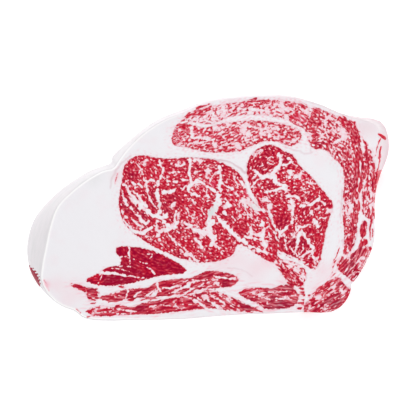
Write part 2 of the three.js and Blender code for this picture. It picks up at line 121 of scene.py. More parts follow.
# The seams of fat that part the bundles: width in mm at the start and at the end, photo pixels
SEAMS = [
    # in the eye, along its left side
    (1.0, 1.1, [(134, 160.5), (138, 165), (141, 169.5), (141.5, 174), (144, 178.5), (147, 182)]),
    (1.3, 1.0, [(147, 182), (145.5, 186.5), (147, 191), (149.5, 196.5), (153, 202.5), (157, 207.5)]),
    (1.7, 1.0, [(148, 181.5), (151, 179.7), (155, 180.5)]),
    (1.2, 1.8, [(160.5, 160.5), (161, 166), (163.5, 171), (161.5, 176)]),
    (1.8, 2.6, [(161.5, 176), (159, 182), (158.5, 189), (158.5, 196), (159.5, 202), (159.5, 210),
                (160, 216)]),
    (2.2, 1.6, [(124.5, 184), (128.3, 187.5), (130, 193), (133.5, 198)]),
    (1.6, 3.2, [(133.5, 198), (137, 203), (141.5, 206.5)]),
    (1.4, 2.6, [(133.5, 190.3), (137.5, 195), (139, 199), (142.5, 203), (146, 206)]),
    (3.4, 3.2, [(141.5, 206.5), (147, 211), (153, 215.5), (160, 216), (166, 216.5)]),
    (1.6, 1.2, [(133, 181.5), (135, 184.5)]),
    (1.0, 1.0, [(138.8, 182.8), (142, 187)]),
    (2.0, 2.4, [(125, 199.5), (127, 203.5)]),
    (0.9, 0.9, [(122, 190), (123.5, 195), (126, 199)]),
    (0.9, 1.1, [(130, 196.5), (132.5, 201.5), (136, 206.5)]),
    (1.3, 1.6, [(122.8, 210.5), (125, 215), (127.5, 216.5)]),
    (1.4, 1.7, [(130.8, 207.5), (135, 213), (140.5, 219.5), (144.5, 223), (149, 221.5)]),
    (0.9, 0.9, [(132, 219), (138, 224.5), (142, 227)]),
    (1.6, 2.5, [(123.5, 220), (127, 225.5), (131.5, 230), (136, 231.5)]),
    (2.6, 1.8, [(136, 231.5), (143, 232), (148, 229.5), (152, 226.5)]),
    (1.4, 1.2, [(145.5, 236), (148.5, 238.3)]),
    (1.8, 2.2, [(156.5, 221), (156.5, 227), (160.5, 231.5)]),
    (2.2, 2.4, [(160.5, 231.5), (166, 231.5), (169, 228.5)]),
    (2.4, 2.2, [(162, 220), (166.5, 224), (170, 227), (175, 225.5), (177.5, 222.5)]),
    (1.4, 1.6, [(176.5, 211), (175, 218), (176, 221)]),
    (0.9, 1.8, [(168, 234), (175, 240.5), (181, 245.5), (187, 251), (192, 257), (196.5, 261.5)]),
    (0.9, 0.9, [(180, 249), (184, 253), (188, 257.5), (192, 262)]),
    (1.6, 1.4, [(159, 236), (160, 241)]),
    # in the eye, its top and middle
    (1.7, 1.4, [(190, 160.5), (190.5, 166), (189, 171), (190.5, 176), (190, 182)]),
    (1.3, 1.5, [(195.5, 159.5), (193, 163.5)]),
    (1.3, 1.3, [(171.5, 162.5), (173, 163)]),
    (1.1, 1.0, [(175.5, 163.5), (180, 165.5), (185, 163.5)]),
    (1.2, 1.0, [(170, 173), (176, 171.5), (181, 173)]),
    (1.6, 1.6, [(166.5, 181), (169.5, 181.3)]),
    (1.7, 1.5, [(174, 182), (176.5, 182.5)]),
    (1.2, 1.2, [(181.5, 179.5), (184, 180)]),
    (3.0, 1.8, [(164, 192), (168, 192), (172, 191), (174.5, 189.5)]),
    (1.5, 1.4, [(188.5, 186.5), (189.5, 192.5)]),
    (1.1, 1.1, [(184.5, 186), (184, 190.5)]),
    (2.8, 2.2, [(191, 184.5), (196, 181.5), (201, 181.5), (205, 185)]),
    (2.2, 2.2, [(205, 185), (211, 189), (217.5, 192.5)]),
    (1.4, 1.3, [(207, 190.5), (206.3, 194), (209, 197.5)]),
    (2.0, 1.6, [(190.5, 195), (194, 193.5), (199.5, 195)]),
    (2.2, 1.4, [(192.5, 200.5), (194.5, 204.5)]),
    (1.3, 1.0, [(196, 172.5), (200, 171.5)]),
    (1.9, 2.2, [(219, 166), (219.5, 172), (220, 180), (218.8, 188)]),
    (3.0, 3.6, [(218.8, 188), (218.5, 196), (218.5, 203)]),
    (3.8, 5.2, [(218.5, 203), (214, 209), (210.5, 215), (210, 222), (209.5, 229)]),
    (3.4, 5.0, [(194, 229), (202, 232), (209, 234), (212, 237)]),
    (3.6, 2.0, [(212, 237), (213, 243), (211, 246)]),
    (2.2, 1.6, [(214, 243), (218, 247), (221, 251)]),
    (1.6, 1.9, [(183, 221.5), (188, 225), (194, 229)]),
    (1.7, 2.1, [(196, 240), (200, 244.5), (203, 248.5)]),
    # in the eye, along its right side
    (1.6, 3.2, [(213, 212), (218, 217.5), (223, 223)]),
    (3.2, 2.8, [(223, 223), (230, 230), (236, 236), (241, 240.5)]),
    (2.8, 2.4, [(241, 240.5), (250, 246.5), (258, 250.5), (267, 253.5)]),
    (2.0, 1.6, [(267, 253.5), (273, 257.5), (278, 262)]),
    (1.0, 1.5, [(238, 177), (243, 184), (249, 190)]),
    (1.5, 1.4, [(221, 181.5), (225, 185), (229, 187.5), (233, 189)]),
    (1.0, 1.3, [(233.5, 176), (236, 181), (238, 186)]),
    (2.6, 2.6, [(228, 203), (229, 205)]),
    (1.8, 1.9, [(244.5, 203.5), (246, 208.5)]),
    (2.2, 1.6, [(224.5, 212), (226, 215)]),
    (1.8, 1.2, [(232, 218), (236, 221)]),
    (1.6, 1.6, [(251, 232), (252.5, 237)]),
    (1.8, 1.8, [(245, 237), (254, 239), (261, 241)]),
    (2.2, 3.4, [(262, 222), (263.5, 228), (262, 235), (263, 242), (266, 248)]),
    (1.8, 2.7, [(249.5, 200), (254, 206), (259.5, 211)]),
    # in the inner shoulder muscle, its upper half
    (1.4, 2.6, [(278.5, 154), (280.5, 160), (280.5, 164), (278, 167.5)]),
    (3.0, 3.2, [(278, 167.5), (275, 171), (274, 176), (277, 181)]),
    (2.6, 1.6, [(274, 177), (268, 176.5), (262, 178), (258, 180)]),
    (1.4, 1.2, [(258, 180), (255, 184), (252, 187)]),
    (2.6, 3.2, [(277, 181), (281, 184.5), (287, 187.5)]),
    (2.4, 1.4, [(287, 188), (279, 189.5), (271, 190.5), (266, 192)]),
    (1.7, 1.1, [(283, 166), (288, 165.5), (291, 162)]),
    (1.6, 1.6, [(288, 171.5), (292, 173), (291, 177)]),
    (1.2, 1.5, [(250, 167.5), (256, 172), (260, 176)]),
    (1.3, 1.1, [(260, 166), (263, 165)]),
    (1.2, 1.2, [(263.5, 170), (266, 170)]),
    (1.0, 1.1, [(268, 159), (271, 156), (274, 156.5)]),
    (1.3, 1.2, [(293.5, 164), (297, 166)]),
    (1.4, 1.3, [(287.5, 159), (290.5, 160.5)]),
    (1.9, 2.2, [(288, 196), (294, 197), (300, 199.5)]),
    (1.6, 2.2, [(301, 207.5), (306, 206.5), (311, 205.5), (316, 203), (320.5, 200.5)]),
    (1.4, 1.2, [(320.5, 200.5), (325, 205)]),
    # in the inner shoulder muscle, its lower half
    (1.5, 1.9, [(291.5, 197), (291.5, 203), (293, 210), (293, 216)]),
    (1.9, 1.7, [(293, 216), (291, 223), (286, 229.5), (281, 232.5)]),
    (1.7, 1.5, [(281, 232.5), (276, 229), (272.5, 222), (270.5, 214), (268.5, 206.5)]),
    (1.9, 1.2, [(281, 233), (279, 238), (278, 244)]),
    (1.1, 1.4, [(296.5, 226), (297.5, 232)]),
    (3.0, 1.4, [(299.5, 234), (299, 240), (298, 247), (296, 252)]),
    (1.6, 2.1, [(302, 231.5), (305, 236.5), (308, 240.5)]),
    (2.1, 2.3, [(308, 240.5), (310.5, 244), (313.5, 247)]),
    (1.7, 1.3, [(313.5, 247), (313.5, 253), (315, 259)]),
    (2.2, 2.3, [(314, 220.5), (317, 224), (318, 227.5)]),
    (1.5, 1.4, [(310.5, 213.5), (313.5, 215)]),
    (1.1, 1.2, [(283.5, 235), (286.5, 241), (288, 250)]),
    (1.6, 1.6, [(284, 254), (291, 258.5), (298, 262.5), (305, 263)]),
    (1.3, 1.2, [(300, 258.5), (305, 256), (309, 253.5), (313, 251)]),
    (1.3, 1.4, [(286, 261.5), (293, 265.5), (301, 267.5), (309, 265.5)]),
    (1.1, 1.2, [(293, 249.5), (294.5, 253), (297, 257)]),
    (0.9, 0.9, [(302, 253.5), (304.5, 250), (304, 246)]),
    # in its tail
    (1.1, 1.3, [(303, 268), (305, 271), (304, 276)]),
    # in the flank wedge, between its layers
    (1.5, 1.2, [(130, 245), (129.8, 252), (129, 258), (129.5, 264)]),
    (0.8, 0.7, [(119, 257.5), (123, 256.5), (128, 258.5)]),
    (1.0, 0.6, [(119, 266.5), (124, 265.7), (130, 267)]),
    (3.2, 1.6, [(98, 272.5), (106, 273), (112, 273), (119, 274)]),
    (1.6, 0.6, [(119, 274), (127, 275.8), (136, 277), (146, 278.5)]),
    (0.8, 0.5, [(110, 267), (118, 269), (128, 271)]),
    (0.6, 1.3, [(145, 265), (149, 268.5), (152.5, 271), (154.5, 274)]),
    (0.5, 0.7, [(147, 253.5), (152, 254.5), (150, 258)]),
    (0.5, 0.7, [(133, 259.5), (140, 261.5), (147, 263)]),
    (1.0, 0.7, [(103, 274), (100.5, 279), (98, 283.5)]),
    # in the inner rib strip
    (1.1, 1.0, [(105, 294), (112, 292.7), (120, 292)]),
    (1.3, 1.2, [(125, 299.5), (127, 295.5), (128.5, 291)]),
    (1.4, 1.0, [(135, 297.5), (137.5, 294), (141, 291)]),
    (1.2, 1.2, [(145, 297), (149, 293.5), (154, 290.5), (160, 289)]),
    (3.4, 3.0, [(152, 296.5), (156, 292)]),
    (1.9, 1.3, [(156.5, 284), (158, 288), (160, 291)]),
    (1.4, 1.2, [(163, 288.5), (169, 288.7), (175, 287.2), (181, 286.3)]),
    (1.2, 1.6, [(165, 297), (172, 294), (180, 290.2), (187, 286.5)]),
    (2.9, 1.2, [(188, 286), (191, 284), (196, 281.6)]),
    (0.9, 0.9, [(172, 297), (181, 294.5), (190, 291), (200, 286.5), (210, 282.5), (218, 280.5)]),
    (0.6, 0.7, [(181, 281.6), (190, 281.2), (200, 281.2), (210, 279.6)]),
    (1.0, 0.8, [(201, 285.2), (208, 282.3), (214, 280.4)]),
    (0.6, 0.7, [(205, 289), (212, 286.3), (219, 283.5)]),
    (1.2, 1.5, [(214, 277), (221, 277.6), (228, 278), (235, 279)]),
    # in the outer rib strip
    (1.3, 0.9, [(96, 308.6), (104, 307.6), (113, 308.5), (124, 310), (135, 311.5)]),
    (0.7, 0.6, [(92, 313.7), (104, 312.8), (116, 313.4), (130, 313.8)]),
    (0.7, 0.7, [(90, 309), (97, 305.8), (105, 305.6)]),
    (0.9, 0.8, [(184, 297.5), (190, 299), (194.5, 302.5)]),
    (1.1, 0.9, [(194, 295.8), (198, 298.2), (201, 301)]),
    (1.6, 1.8, [(194, 300.5), (200, 304.3), (206, 309.5)]),
    (1.1, 0.9, [(202, 295.5), (206, 298.8), (209, 300)]),
    (1.2, 1.6, [(207, 300.5), (213, 303.5), (218, 309)]),
    (1.0, 1.5, [(212, 297), (219, 301.3), (226, 306), (233, 311)]),
    (0.9, 1.4, [(219, 296), (226, 301.3), (233, 305.8), (240, 311.5)]),
    (0.8, 0.9, [(226, 300), (231, 304), (236, 305)]),
    (0.6, 0.6, [(150, 306.5), (160, 305.4), (170, 305.8), (178, 307)]),
    # in the rib finger
    (0.8, 0.9, [(262, 300), (272, 299.6), (283, 299.3), (291, 298), (298, 296)]),
    (0.6, 0.6, [(262, 294.5), (270, 293), (280, 294), (288, 292)]),
    # between the left ends of the caps, and in the outer one
    (1.6, 2.6, [(192, 137), (198, 138), (207, 138)]),
    (2.0, 1.6, [(192, 128), (191, 133), (194, 137)]),
    (1.4, 2.0, [(205, 119), (212, 123), (220, 123)]),
    (1.6, 1.4, [(211, 108), (213, 113), (212, 119)]),
    (2.0, 1.6, [(224, 105), (222.5, 110), (224, 117)]),
    (1.6, 1.6, [(261, 112), (262, 118), (262, 122)]),
    (1.4, 1.4, [(250, 109), (256, 110), (262, 111)]),
]

# Zones where the fat between the muscles is streaked with lean: width in mm at the start and at the end,
# how sparse the streaks are (-1 nearly all lean, 2 hardly any), photo pixels
STRANDS = [
    # round the left ends of the caps and above the outer one
    (5.0, 6.0, 0.1, [(177, 136), (180, 127), (187, 119), (197, 111), (208, 107)]),
    (3.0, 3.0, -0.2, [(245, 103), (257, 100.5), (268, 102)]),
    (3.0, 4.0, 0.1, [(286, 105), (300, 106), (318, 111)]),
    # between the caps and the shoulder band, and between that band and the edge
    (9.0, 10.0, 0.1, [(294, 117), (306, 122), (316, 130)]),
    (7.0, 8.0, 0.2, [(343, 120), (352, 128), (357, 138)]),
    (1.2, 1.0, -1.5, [(354.5, 122), (357, 129), (358.5, 134)]),
    (1.5, 1.6, -1.5, [(361, 138.5), (364.5, 142), (368, 145)]),
    (6.0, 7.0, -0.6, [(356, 142), (359, 155), (359, 172), (357.5, 190)]),
    (5.0, 4.0, -0.7, [(357.5, 190), (357.5, 205), (356.5, 222)]),
    (4.0, 4.5, 0.0, [(366, 148), (369, 158), (367, 168)]),
    (3.0, 3.5, -0.5, [(374, 165), (376, 175), (375.5, 186)]),
    (1.4, 1.1, -1.5, [(373.5, 219), (371.5, 227), (370.5, 234), (371.5, 240)]),
    (1.0, 1.0, -1.5, [(373.8, 230), (374, 237)]),
    (5.0, 6.0, -0.5, [(351, 240), (349, 250), (345, 262)]),
    (6.0, 6.0, -0.7, [(365, 243), (363, 252), (356, 258)]),
    (3.0, 3.0, 0.5, [(339, 250), (336, 265), (334, 278)]),
    (5.0, 4.0, 0.2, [(333, 284), (322, 290), (312, 297)]),
    # between the eye and the inner shoulder muscle, and below that
    (3.0, 3.4, -0.1, [(258, 198), (267, 216), (273, 228), (277, 243), (281, 253)]),
    (6.0, 9.0, 0.1, [(268, 254), (284, 268), (296, 285)]),
    (7.0, 5.0, 0.1, [(300, 288), (302, 298), (301, 308)]),
    # between the rib strips and the flank
    (2.2, 1.2, -1.2, [(71, 284), (78, 285.5), (86, 287.5)]),
    (2.5, 2.0, 0.3, [(104, 283), (112, 286), (124, 286.5)]),
    (3.0, 3.0, -0.1, [(96, 290), (98, 297), (92, 303)]),
    (3.0, 3.0, 0.4, [(110, 303), (160, 297), (215, 292)]),
    (2.2, 2.0, -0.9, [(115, 306.5), (127, 308), (138, 310.3)]),
    (4.0, 4.0, 0.1, [(228, 306), (245, 311), (262, 312)]),
    (1.2, 1.2, -1.3, [(86, 317), (95, 314.8), (108, 315)]),
    (1.0, 0.8, -1.3, [(76, 309), (80, 313)]),
]

# Patches of fat that are tinged pink, or clear and greyish where it is thin: photo pixel, radius in
# pixels, share of pink, share of grey
TINGES = [
    (222, 262, 12, 0.35, 0.0), (255, 272, 14, 0.30, 0.0), (285, 285, 8, 0.3, 0.0), (78, 290, 12, 0.25, 0.0),
    (66, 300, 9, 0.20, 0.0), (57, 284, 9, 0.25, 0.0), (46, 284, 4, 0.9, 0.0), (205, 235, 9, 0.25, 0.0),
    (325, 272, 10, 0.35, 0.0), (318, 290, 8, 0.35, 0.0), (372, 128, 12, 0.30, 0.25), (362, 128, 8, 0.2, 0.2),
    (118, 175, 7, 0.30, 0.1), (240, 260, 9, 0.2, 0.0), (268, 262, 8, 0.35, 0.0), (168, 108, 9, 0.2, 0.2),
    (159, 205, 4.5, 0.0, 0.9), (186, 206, 5, 0.0, 0.6), (212, 208, 6, 0.0, 0.8), (209, 214, 5, 0.0, 0.7),
    (253, 207, 6, 0.0, 0.8), (235, 213, 5, 0.0, 0.5), (105, 165, 6, 0.0, 0.4), (95, 178, 8, 0.0, 0.3),
    (232, 102, 8, 0.35, 0.0), (280, 101, 10, 0.25, 0.0), (336, 165, 9, 0.0, 0.15),
]

# Thin lines of silver skin and folds in the fat: width in mm, strength, photo pixels
SKIN_LINES = [
    (0.7, 0.6, [(200, 158.5), (209, 158.3), (217, 159.4), (226, 161.2), (234, 164.3), (240.5, 168.3),
                (246.3, 173)]),
    (0.6, 0.4, [(246.3, 173), (247.2, 168), (246.8, 163)]),
    (0.6, 0.3, [(286, 147.7), (296, 151), (306, 154.2), (312.6, 152.5), (311, 147)]),
    (0.6, 0.35, [(341.5, 190), (342, 204), (341.5, 218)]),
    (0.6, 0.3, [(343.4, 242), (345, 240.6), (347.2, 242.2), (345.6, 244.6), (343.4, 242)]),
    (0.7, 0.3, [(110, 186), (113, 176), (120, 164), (131, 156)]),
    (0.5, 0.25, [(228, 268), (240, 270), (252, 276)]),
]

# Cut ends of muscle and veins that show on the slice's wall: width in mm at the start and at the end,
# photo pixels
WALL_MARKS = [
    (1.2, 3.3, [(379.6, 134.2), (383, 135.6), (385.8, 137.2)]),
    (0.8, 0.7, [(382, 138.5), (379.8, 143), (378, 148), (376.9, 155)]),
    (1.5, 2.1, [(382.4, 148), (381.8, 152.5), (381.2, 157.5)]),
    (1.2, 0.9, [(382.3, 160), (381, 165.5), (379.6, 170.5)]),
    (0.7, 0.5, [(117.5, 172.8), (115.5, 182)]),
    (0.6, 0.5, [(44.5, 279), (46.5, 286), (48.5, 291)]),
    (1.6, 0.8, [(197, 108.6), (201, 107)]),
]

# Patches where the lean is darker (+) or paler (-) and where it holds less (+) or more (-) fat:
# photo pixel, radius in pixels, tone, richness
PATCHES = [
    (133, 174, 9, 0.5, 0.5), (126, 194, 6, 0.5, 0.5), (127, 207, 6, 0.5, 0.6), (153, 192, 6, 0.4, 0.4),
    (152, 205, 7, 0.3, 0.5), (142, 216, 7, 0.4, 0.5), (208, 187, 12, -0.5, -0.1), (213, 186, 8, -0.5, 0.0),
    (281.5, 222, 9, 0.4, 0.9), (262, 167, 7, 0.4, 0.6), (285, 155, 6, 0.3, 0.5), (305, 180, 11, -0.5, -0.4),
    (262, 205, 14, -0.2, -0.2), (250, 205, 14, -0.4, -0.5), (240, 195, 12, -0.3, -0.3),
    (205, 175, 12, 0.2, -0.3), (195, 212, 9, -0.3, -0.3), (200, 222, 9, -0.4, -0.2),
    (262, 233, 9, -0.4, -0.7), (225, 212, 8, 0.2, 0.4), (225, 220, 6, 0.3, 0.6), (172, 205, 10, 0.3, 0.5),
    (305, 245, 8, 0.3, 0.4), (295, 243, 6, 0.3, 0.5), (314, 240, 5, 0.3, 0.3), (270, 150, 7, 0.3, 0.5),
    (245, 248, 6, 0.2, 0.9),
    # in the flank wedge, the rib strips, the rib finger and the lobes
    (118, 277, 9, 0.7, 0.4), (107, 279, 6, 0.6, 0.3), (135, 268, 10, 0.3, 0.0), (165, 266, 9, 0.2, 0.2),
    (140, 263, 9, -0.3, -0.5), (96, 278, 6, -0.4, -0.2), (92, 288, 5, 0.7, 0.5), (140, 310, 7, 0.6, 0.6),
    (160, 305, 7, 0.3, 0.4), (225, 284, 7, 0.5, 0.6), (206, 304, 5, 0.3, 0.6), (248, 307, 8, 0.6, 0.6),
    (250, 294, 8, -0.4, -0.2), (275, 296, 9, 0.3, 0.5), (282, 307, 5, 0.9, 0.4), (270, 310, 4, 0.8, 0.4),
    (292, 310, 4, 0.8, 0.4), (258, 292, 6, -0.5, -0.5), (337, 303, 6, 1.0, 0.5), (330, 307, 7, 0.6, 0.4),
    (322, 297, 9, -0.3, 0.0), (353, 268, 8, 0.4, 0.5), (350, 278, 5, 0.6, 0.5), (345, 160, 8, 0.4, 0.4),
    (352, 180, 10, 0.2, 0.3), (353, 230, 6, 0.4, 0.5), (258, 103, 7, 0.2, 0.5), (204, 113, 6, 0.2, 0.5),
    (320, 145, 6, 0.4, 0.4), (262, 143, 5, 0.3, 0.4), (270, 112, 9, -0.3, -0.1), (300, 116, 9, -0.4, -0.2),
]


def from_photo(x, y):
    """Place on the cut face, in mm, of a photo pixel."""
    return (x - PHOTO_MIDDLE[0]) * PHOTO_PIXEL, (PHOTO_MIDDLE[1] - y) * PHOTO_PIXEL


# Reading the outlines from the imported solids

def triangles_of(node):
    """Corners of a CAD node's triangles in mm, (T, 3, 3)."""
    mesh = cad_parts[node].data
    mesh.calc_loop_triangles()
    places = np.empty(len(mesh.vertices) * 3)
    mesh.vertices.foreach_get("co", places)
    corners = np.empty(len(mesh.loop_triangles) * 3, np.int32)
    mesh.loop_triangles.foreach_get("vertices", corners)
    return places.reshape(-1, 3)[corners].reshape(-1, 3, 3) / MM


# More hundredths of a millimetre than the face is wide, so that a place's two numbers make one
MORE_THAN_ACROSS = 1000003
# How far in mm from its height a level edge may be, and how much of a leaning wall's normal points up, at
# the least and at the most
LEVEL_WITHIN, LEAST_LEAN, MOST_LEAN = 0.01, 0.03, 0.95
# In a ring, the ends that are one place lie closer than this in mm, and open ends are joined over less
# than that
ONE_PLACE, WIDEST_GAP = 0.03, 8


def face_outline(triangles):
    """Edges (E, 2, 2) round the flat cut face: those that only one of its triangles uses."""
    flat = triangles[(np.abs(triangles[..., 2] - THICKNESS) < LEVEL_WITHIN).all(1)][..., :2]
    edges = np.concatenate([flat[:, [0, 1]], flat[:, [1, 2]], flat[:, [2, 0]]])
    code = np.round(edges * 100).astype(np.int64) @ (MORE_THAN_ACROSS, 1)
    code.sort(axis=1)
    _, first, count = np.unique(code, axis=0, return_index=True, return_counts=True)
    return edges[first[count == 1]]


def wall_edges(triangles, height, sloping):
    """Level edges (E, 2, 2) at a height on the side walls; sloping keeps only the slice's outer wall,
    which leans, and not the upright walls between its pieces."""
    across = np.cross(triangles[:, 1] - triangles[:, 0], triangles[:, 2] - triangles[:, 0])
    lean = np.abs(across[:, 2]) / (np.linalg.norm(across, axis=1) + 1e-12)
    side = lean < MOST_LEAN
    if sloping:
        side &= lean > LEAST_LEAN
    t = triangles[side]
    level = np.abs(t[..., 2] - height) < LEVEL_WITHIN
    found = [t[level[:, a] & level[:, b]][:, [a, b], :2] for a, b in ((0, 1), (1, 2), (2, 0))]
    return np.concatenate(found)


def closed_up(edges):
    """The edges of a ring, each once, with ends that are nearly one place made one. Its few open ends,
    left where pieces meet, are joined in pairs that are each other's nearest."""
    places, index = np.unique(np.round(edges.reshape(-1, 2), 2), axis=0, return_inverse=True)
    close = np.hypot(*(places[:, None] - places).transpose(2, 0, 1)) < ONE_PLACE
    index = np.unique(np.sort(close.argmax(1)[index.reshape(-1, 2)], axis=1), axis=0)
    index = index[index[:, 0] != index[:, 1]]
    loose = np.nonzero(np.bincount(index.ravel(), minlength=len(places)) == 1)[0]
    if len(loose) > 1:
        apart = places[loose][:, None] - places[loose]
        away = np.hypot(*apart.transpose(2, 0, 1)) + 99 * np.eye(len(loose))
        partner = away.argmin(1)
        one = np.arange(len(loose))
        one = one[(partner[partner] == one) & (one < partner) & (away.min(1) < WIDEST_GAP)]
        index = np.concatenate([index, np.stack([loose[one], loose[partner[one]]], 1)])
    return places[index]


def distance_to(points, edges, chunk=20000):
    """Distance from points (N, 2) to the nearest of the edges (E, 2, 2)."""
    start = edges[:, 0]
    along = edges[:, 1] - start
    length2 = (along ** 2).sum(1) + 1e-12
    out = np.empty(len(points))
    for i in range(0, len(points), chunk):
        p = points[i:i + chunk, None] - start
        t = np.clip((p * along).sum(2) / length2, 0, 1)
        gap = p - t[..., None] * along
        out[i:i + chunk] = np.sqrt((gap ** 2).sum(2).min(1))
    return out


def is_inside(points, edges, chunk=20000):
    """Whether each point lies inside the closed outline: a ray along +X crosses an odd number of edges.
    The ray is a hair off round numbers, so that it meets no corner."""
    out = np.empty(len(points), bool)
    a, b = np.round(edges[:, 0], 3), np.round(edges[:, 1], 3)
    for i in range(0, len(points), chunk):
        x, y = points[i:i + chunk, 0:1], points[i:i + chunk, 1:2] + 0.0004
        spans = (a[:, 1] > y) != (b[:, 1] > y)
        cross = a[:, 0] + (y - a[:, 1]) * (b[:, 0] - a[:, 0]) / (b[:, 1] - a[:, 1] + 1e-15)
        out[i:i + chunk] = (spans & (x < cross)).sum(1) % 2 == 1
    return out


# The flat grid over the cut face
STEP = 0.25
COARSE = 2
# How far from an outline distances are worked out, in mm
REACH = 9.0
XS = np.arange(-FACE_HALF_LENGTH, FACE_HALF_LENGTH + STEP / 2, STEP)
YS = np.arange(-FACE_HALF_WIDTH, FACE_HALF_WIDTH + STEP / 2, STEP)
NX, NY = len(XS), len(YS)
GX, GY = np.meshgrid(XS, YS)


def between(grid, column, row):
    """Value of a grid between its lines, weighting the four nearest values."""
    ix = np.minimum(column.astype(int), grid.shape[1] - 2)
    iy = np.minimum(row.astype(int), grid.shape[0] - 2)
    tx, ty = column - ix, row - iy
    low = grid[iy, ix] * (1 - tx) + grid[iy, ix + 1] * tx
    high = grid[iy + 1, ix] * (1 - tx) + grid[iy + 1, ix + 1] * tx
    return low * (1 - ty) + high * ty


def enlarge(coarse, factor):
    """A coarse grid (every factor-th line) brought to the full grid."""
    return between(coarse, np.arange(NX)[None] / factor, np.arange(NY)[:, None] / factor)


def sample(grid, x, y):
    """Value of a full grid at points in mm."""
    column, row = np.clip((x - XS[0]) / STEP, 0, NX - 1.001), np.clip((y - YS[0]) / STEP, 0, NY - 1.001)
    return between(grid, column, row)


def climb(grid, x, y, reach):
    """How much a full grid climbs along X and along Y, from reach mm before each point to reach mm after."""
    return (sample(grid, x + reach, y) - sample(grid, x - reach, y),
            sample(grid, x, y + reach) - sample(grid, x, y - reach))


def ramp(value, start, end):
    """0 up to the start, 1 from the end on, and even between them."""
    return np.clip((value - start) / (end - start), 0, 1)


def depth_grid(edges, every=COARSE):
    """Distance inside an outline (outside is negative) on the full grid, worked out within REACH of it on
    every so many grid lines."""
    low, high = edges.reshape(-1, 2).min(0) - REACH, edges.reshape(-1, 2).max(0) + REACH
    xs, ys = XS[::every], YS[::every]
    i0, i1 = np.searchsorted(xs, [low[0], high[0]])
    j0, j1 = np.searchsorted(ys, [low[1], high[1]])
    gx, gy = np.meshgrid(xs[i0:i1], ys[j0:j1])
    points = np.stack([gx.ravel(), gy.ravel()], 1)
    away = distance_to(points, edges)
    away[~is_inside(points, edges)] *= -1
    coarse = np.full((len(ys), len(xs)), -REACH)
    coarse[j0:j1, i0:i1] = away.reshape(gx.shape)
    return enlarge(coarse, every)


solids = {name: triangles_of(name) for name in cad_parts}
every_triangle = np.concatenate(list(solids.values()))
outer_edge = closed_up(wall_edges(every_triangle, THICKNESS, True))
edge_depth = depth_grid(outer_edge)
muscle_depth = {name: depth_grid(face_outline(solids[name])) for name in MUSCLES}
depth = np.max(list(muscle_depth.values()), axis=0)
owner = np.argmax(list(muscle_depth.values()), axis=0)
by_muscle = np.array([MARBLING[name] for name in MUSCLES]).T[:, owner]
fullness, blob_level, veil_share, streaky, darkness = by_muscle


# Noise on the grid

FX = np.fft.rfftfreq(NX, STEP)[None]
FY = np.fft.fftfreq(NY, STEP)[:, None]


def blurred(grid, size):
    """A full grid with its waves shorter than about size mm taken out."""
    return np.fft.irfft2(np.fft.rfft2(grid) * np.exp(-1.5 * (FX ** 2 + FY ** 2) * size ** 2), s=(NY, NX))


def soft_noise(seed, size):
    """Soft random hills about size mm across, of mean 0 and deviation 1: blurred white noise."""
    soft = blurred(np.random.default_rng(seed).standard_normal((NY, NX)), size)
    return (soft - soft.mean()) / soft.std()


def grain_direction():
    """Cosine and sine of twice the grain's angle: the GRAIN arrows weighted by nearness. A doubled angle
    has no front or back end."""
    arrows = np.array(GRAIN, float)
    ax, ay = from_photo(arrows[:, 0], arrows[:, 1])
    angle = np.radians(arrows[:, 2])
    every = 4
    gx, gy = np.meshgrid(XS[::every], YS[::every])
    weight = ((gx[..., None] - ax) ** 2 + (gy[..., None] - ay) ** 2 + 4.0) ** -1.5
    c, s = (weight * np.cos(2 * angle)).sum(-1), (weight * np.sin(2 * angle)).sum(-1)
    size = np.hypot(c, s)
    return enlarge(c / size, every), enlarge(s / size, every)


cos_grain, sin_grain = grain_direction()


def grain_noise(seed, wave, stretch, spread=0.30, directions=8):
    """Random streaks that follow the grain, one wave mm apart and stretch times as long as wide: noise
    that keeps only waves near that length, filtered once for each of a few directions, and mixed by
    how close each direction is to the grain. Spread is how far the waves' lengths differ."""
    rough = np.fft.rfft2(np.random.default_rng(seed).standard_normal((NY, NX)))
    total, power = 0, 0
    for turn in np.pi * np.arange(directions) / directions:
        along = (FX * np.cos(turn) + FY * np.sin(turn)) * stretch
        across = FY * np.cos(turn) - FX * np.sin(turn)
        octaves = np.log(np.maximum(np.hypot(along, across), 1e-6) * wave)
        streaks = np.fft.irfft2(rough * np.exp(-octaves ** 2 / (2 * spread ** 2)), s=(NY, NX))
        weight = np.clip(cos_grain * np.cos(2 * turn) + sin_grain * np.sin(2 * turn), 0, 1) ** 4
        total = total + weight * streaks
        power = power + weight ** 2
    total = total / np.sqrt(power)
    return total / total.std()


def evened(noise, size):
    """Noise divided by its own strength over size mm, so that it is about as strong everywhere."""
    return noise / (0.25 + 0.75 * np.sqrt(np.maximum(blurred(noise ** 2, size), 0)))


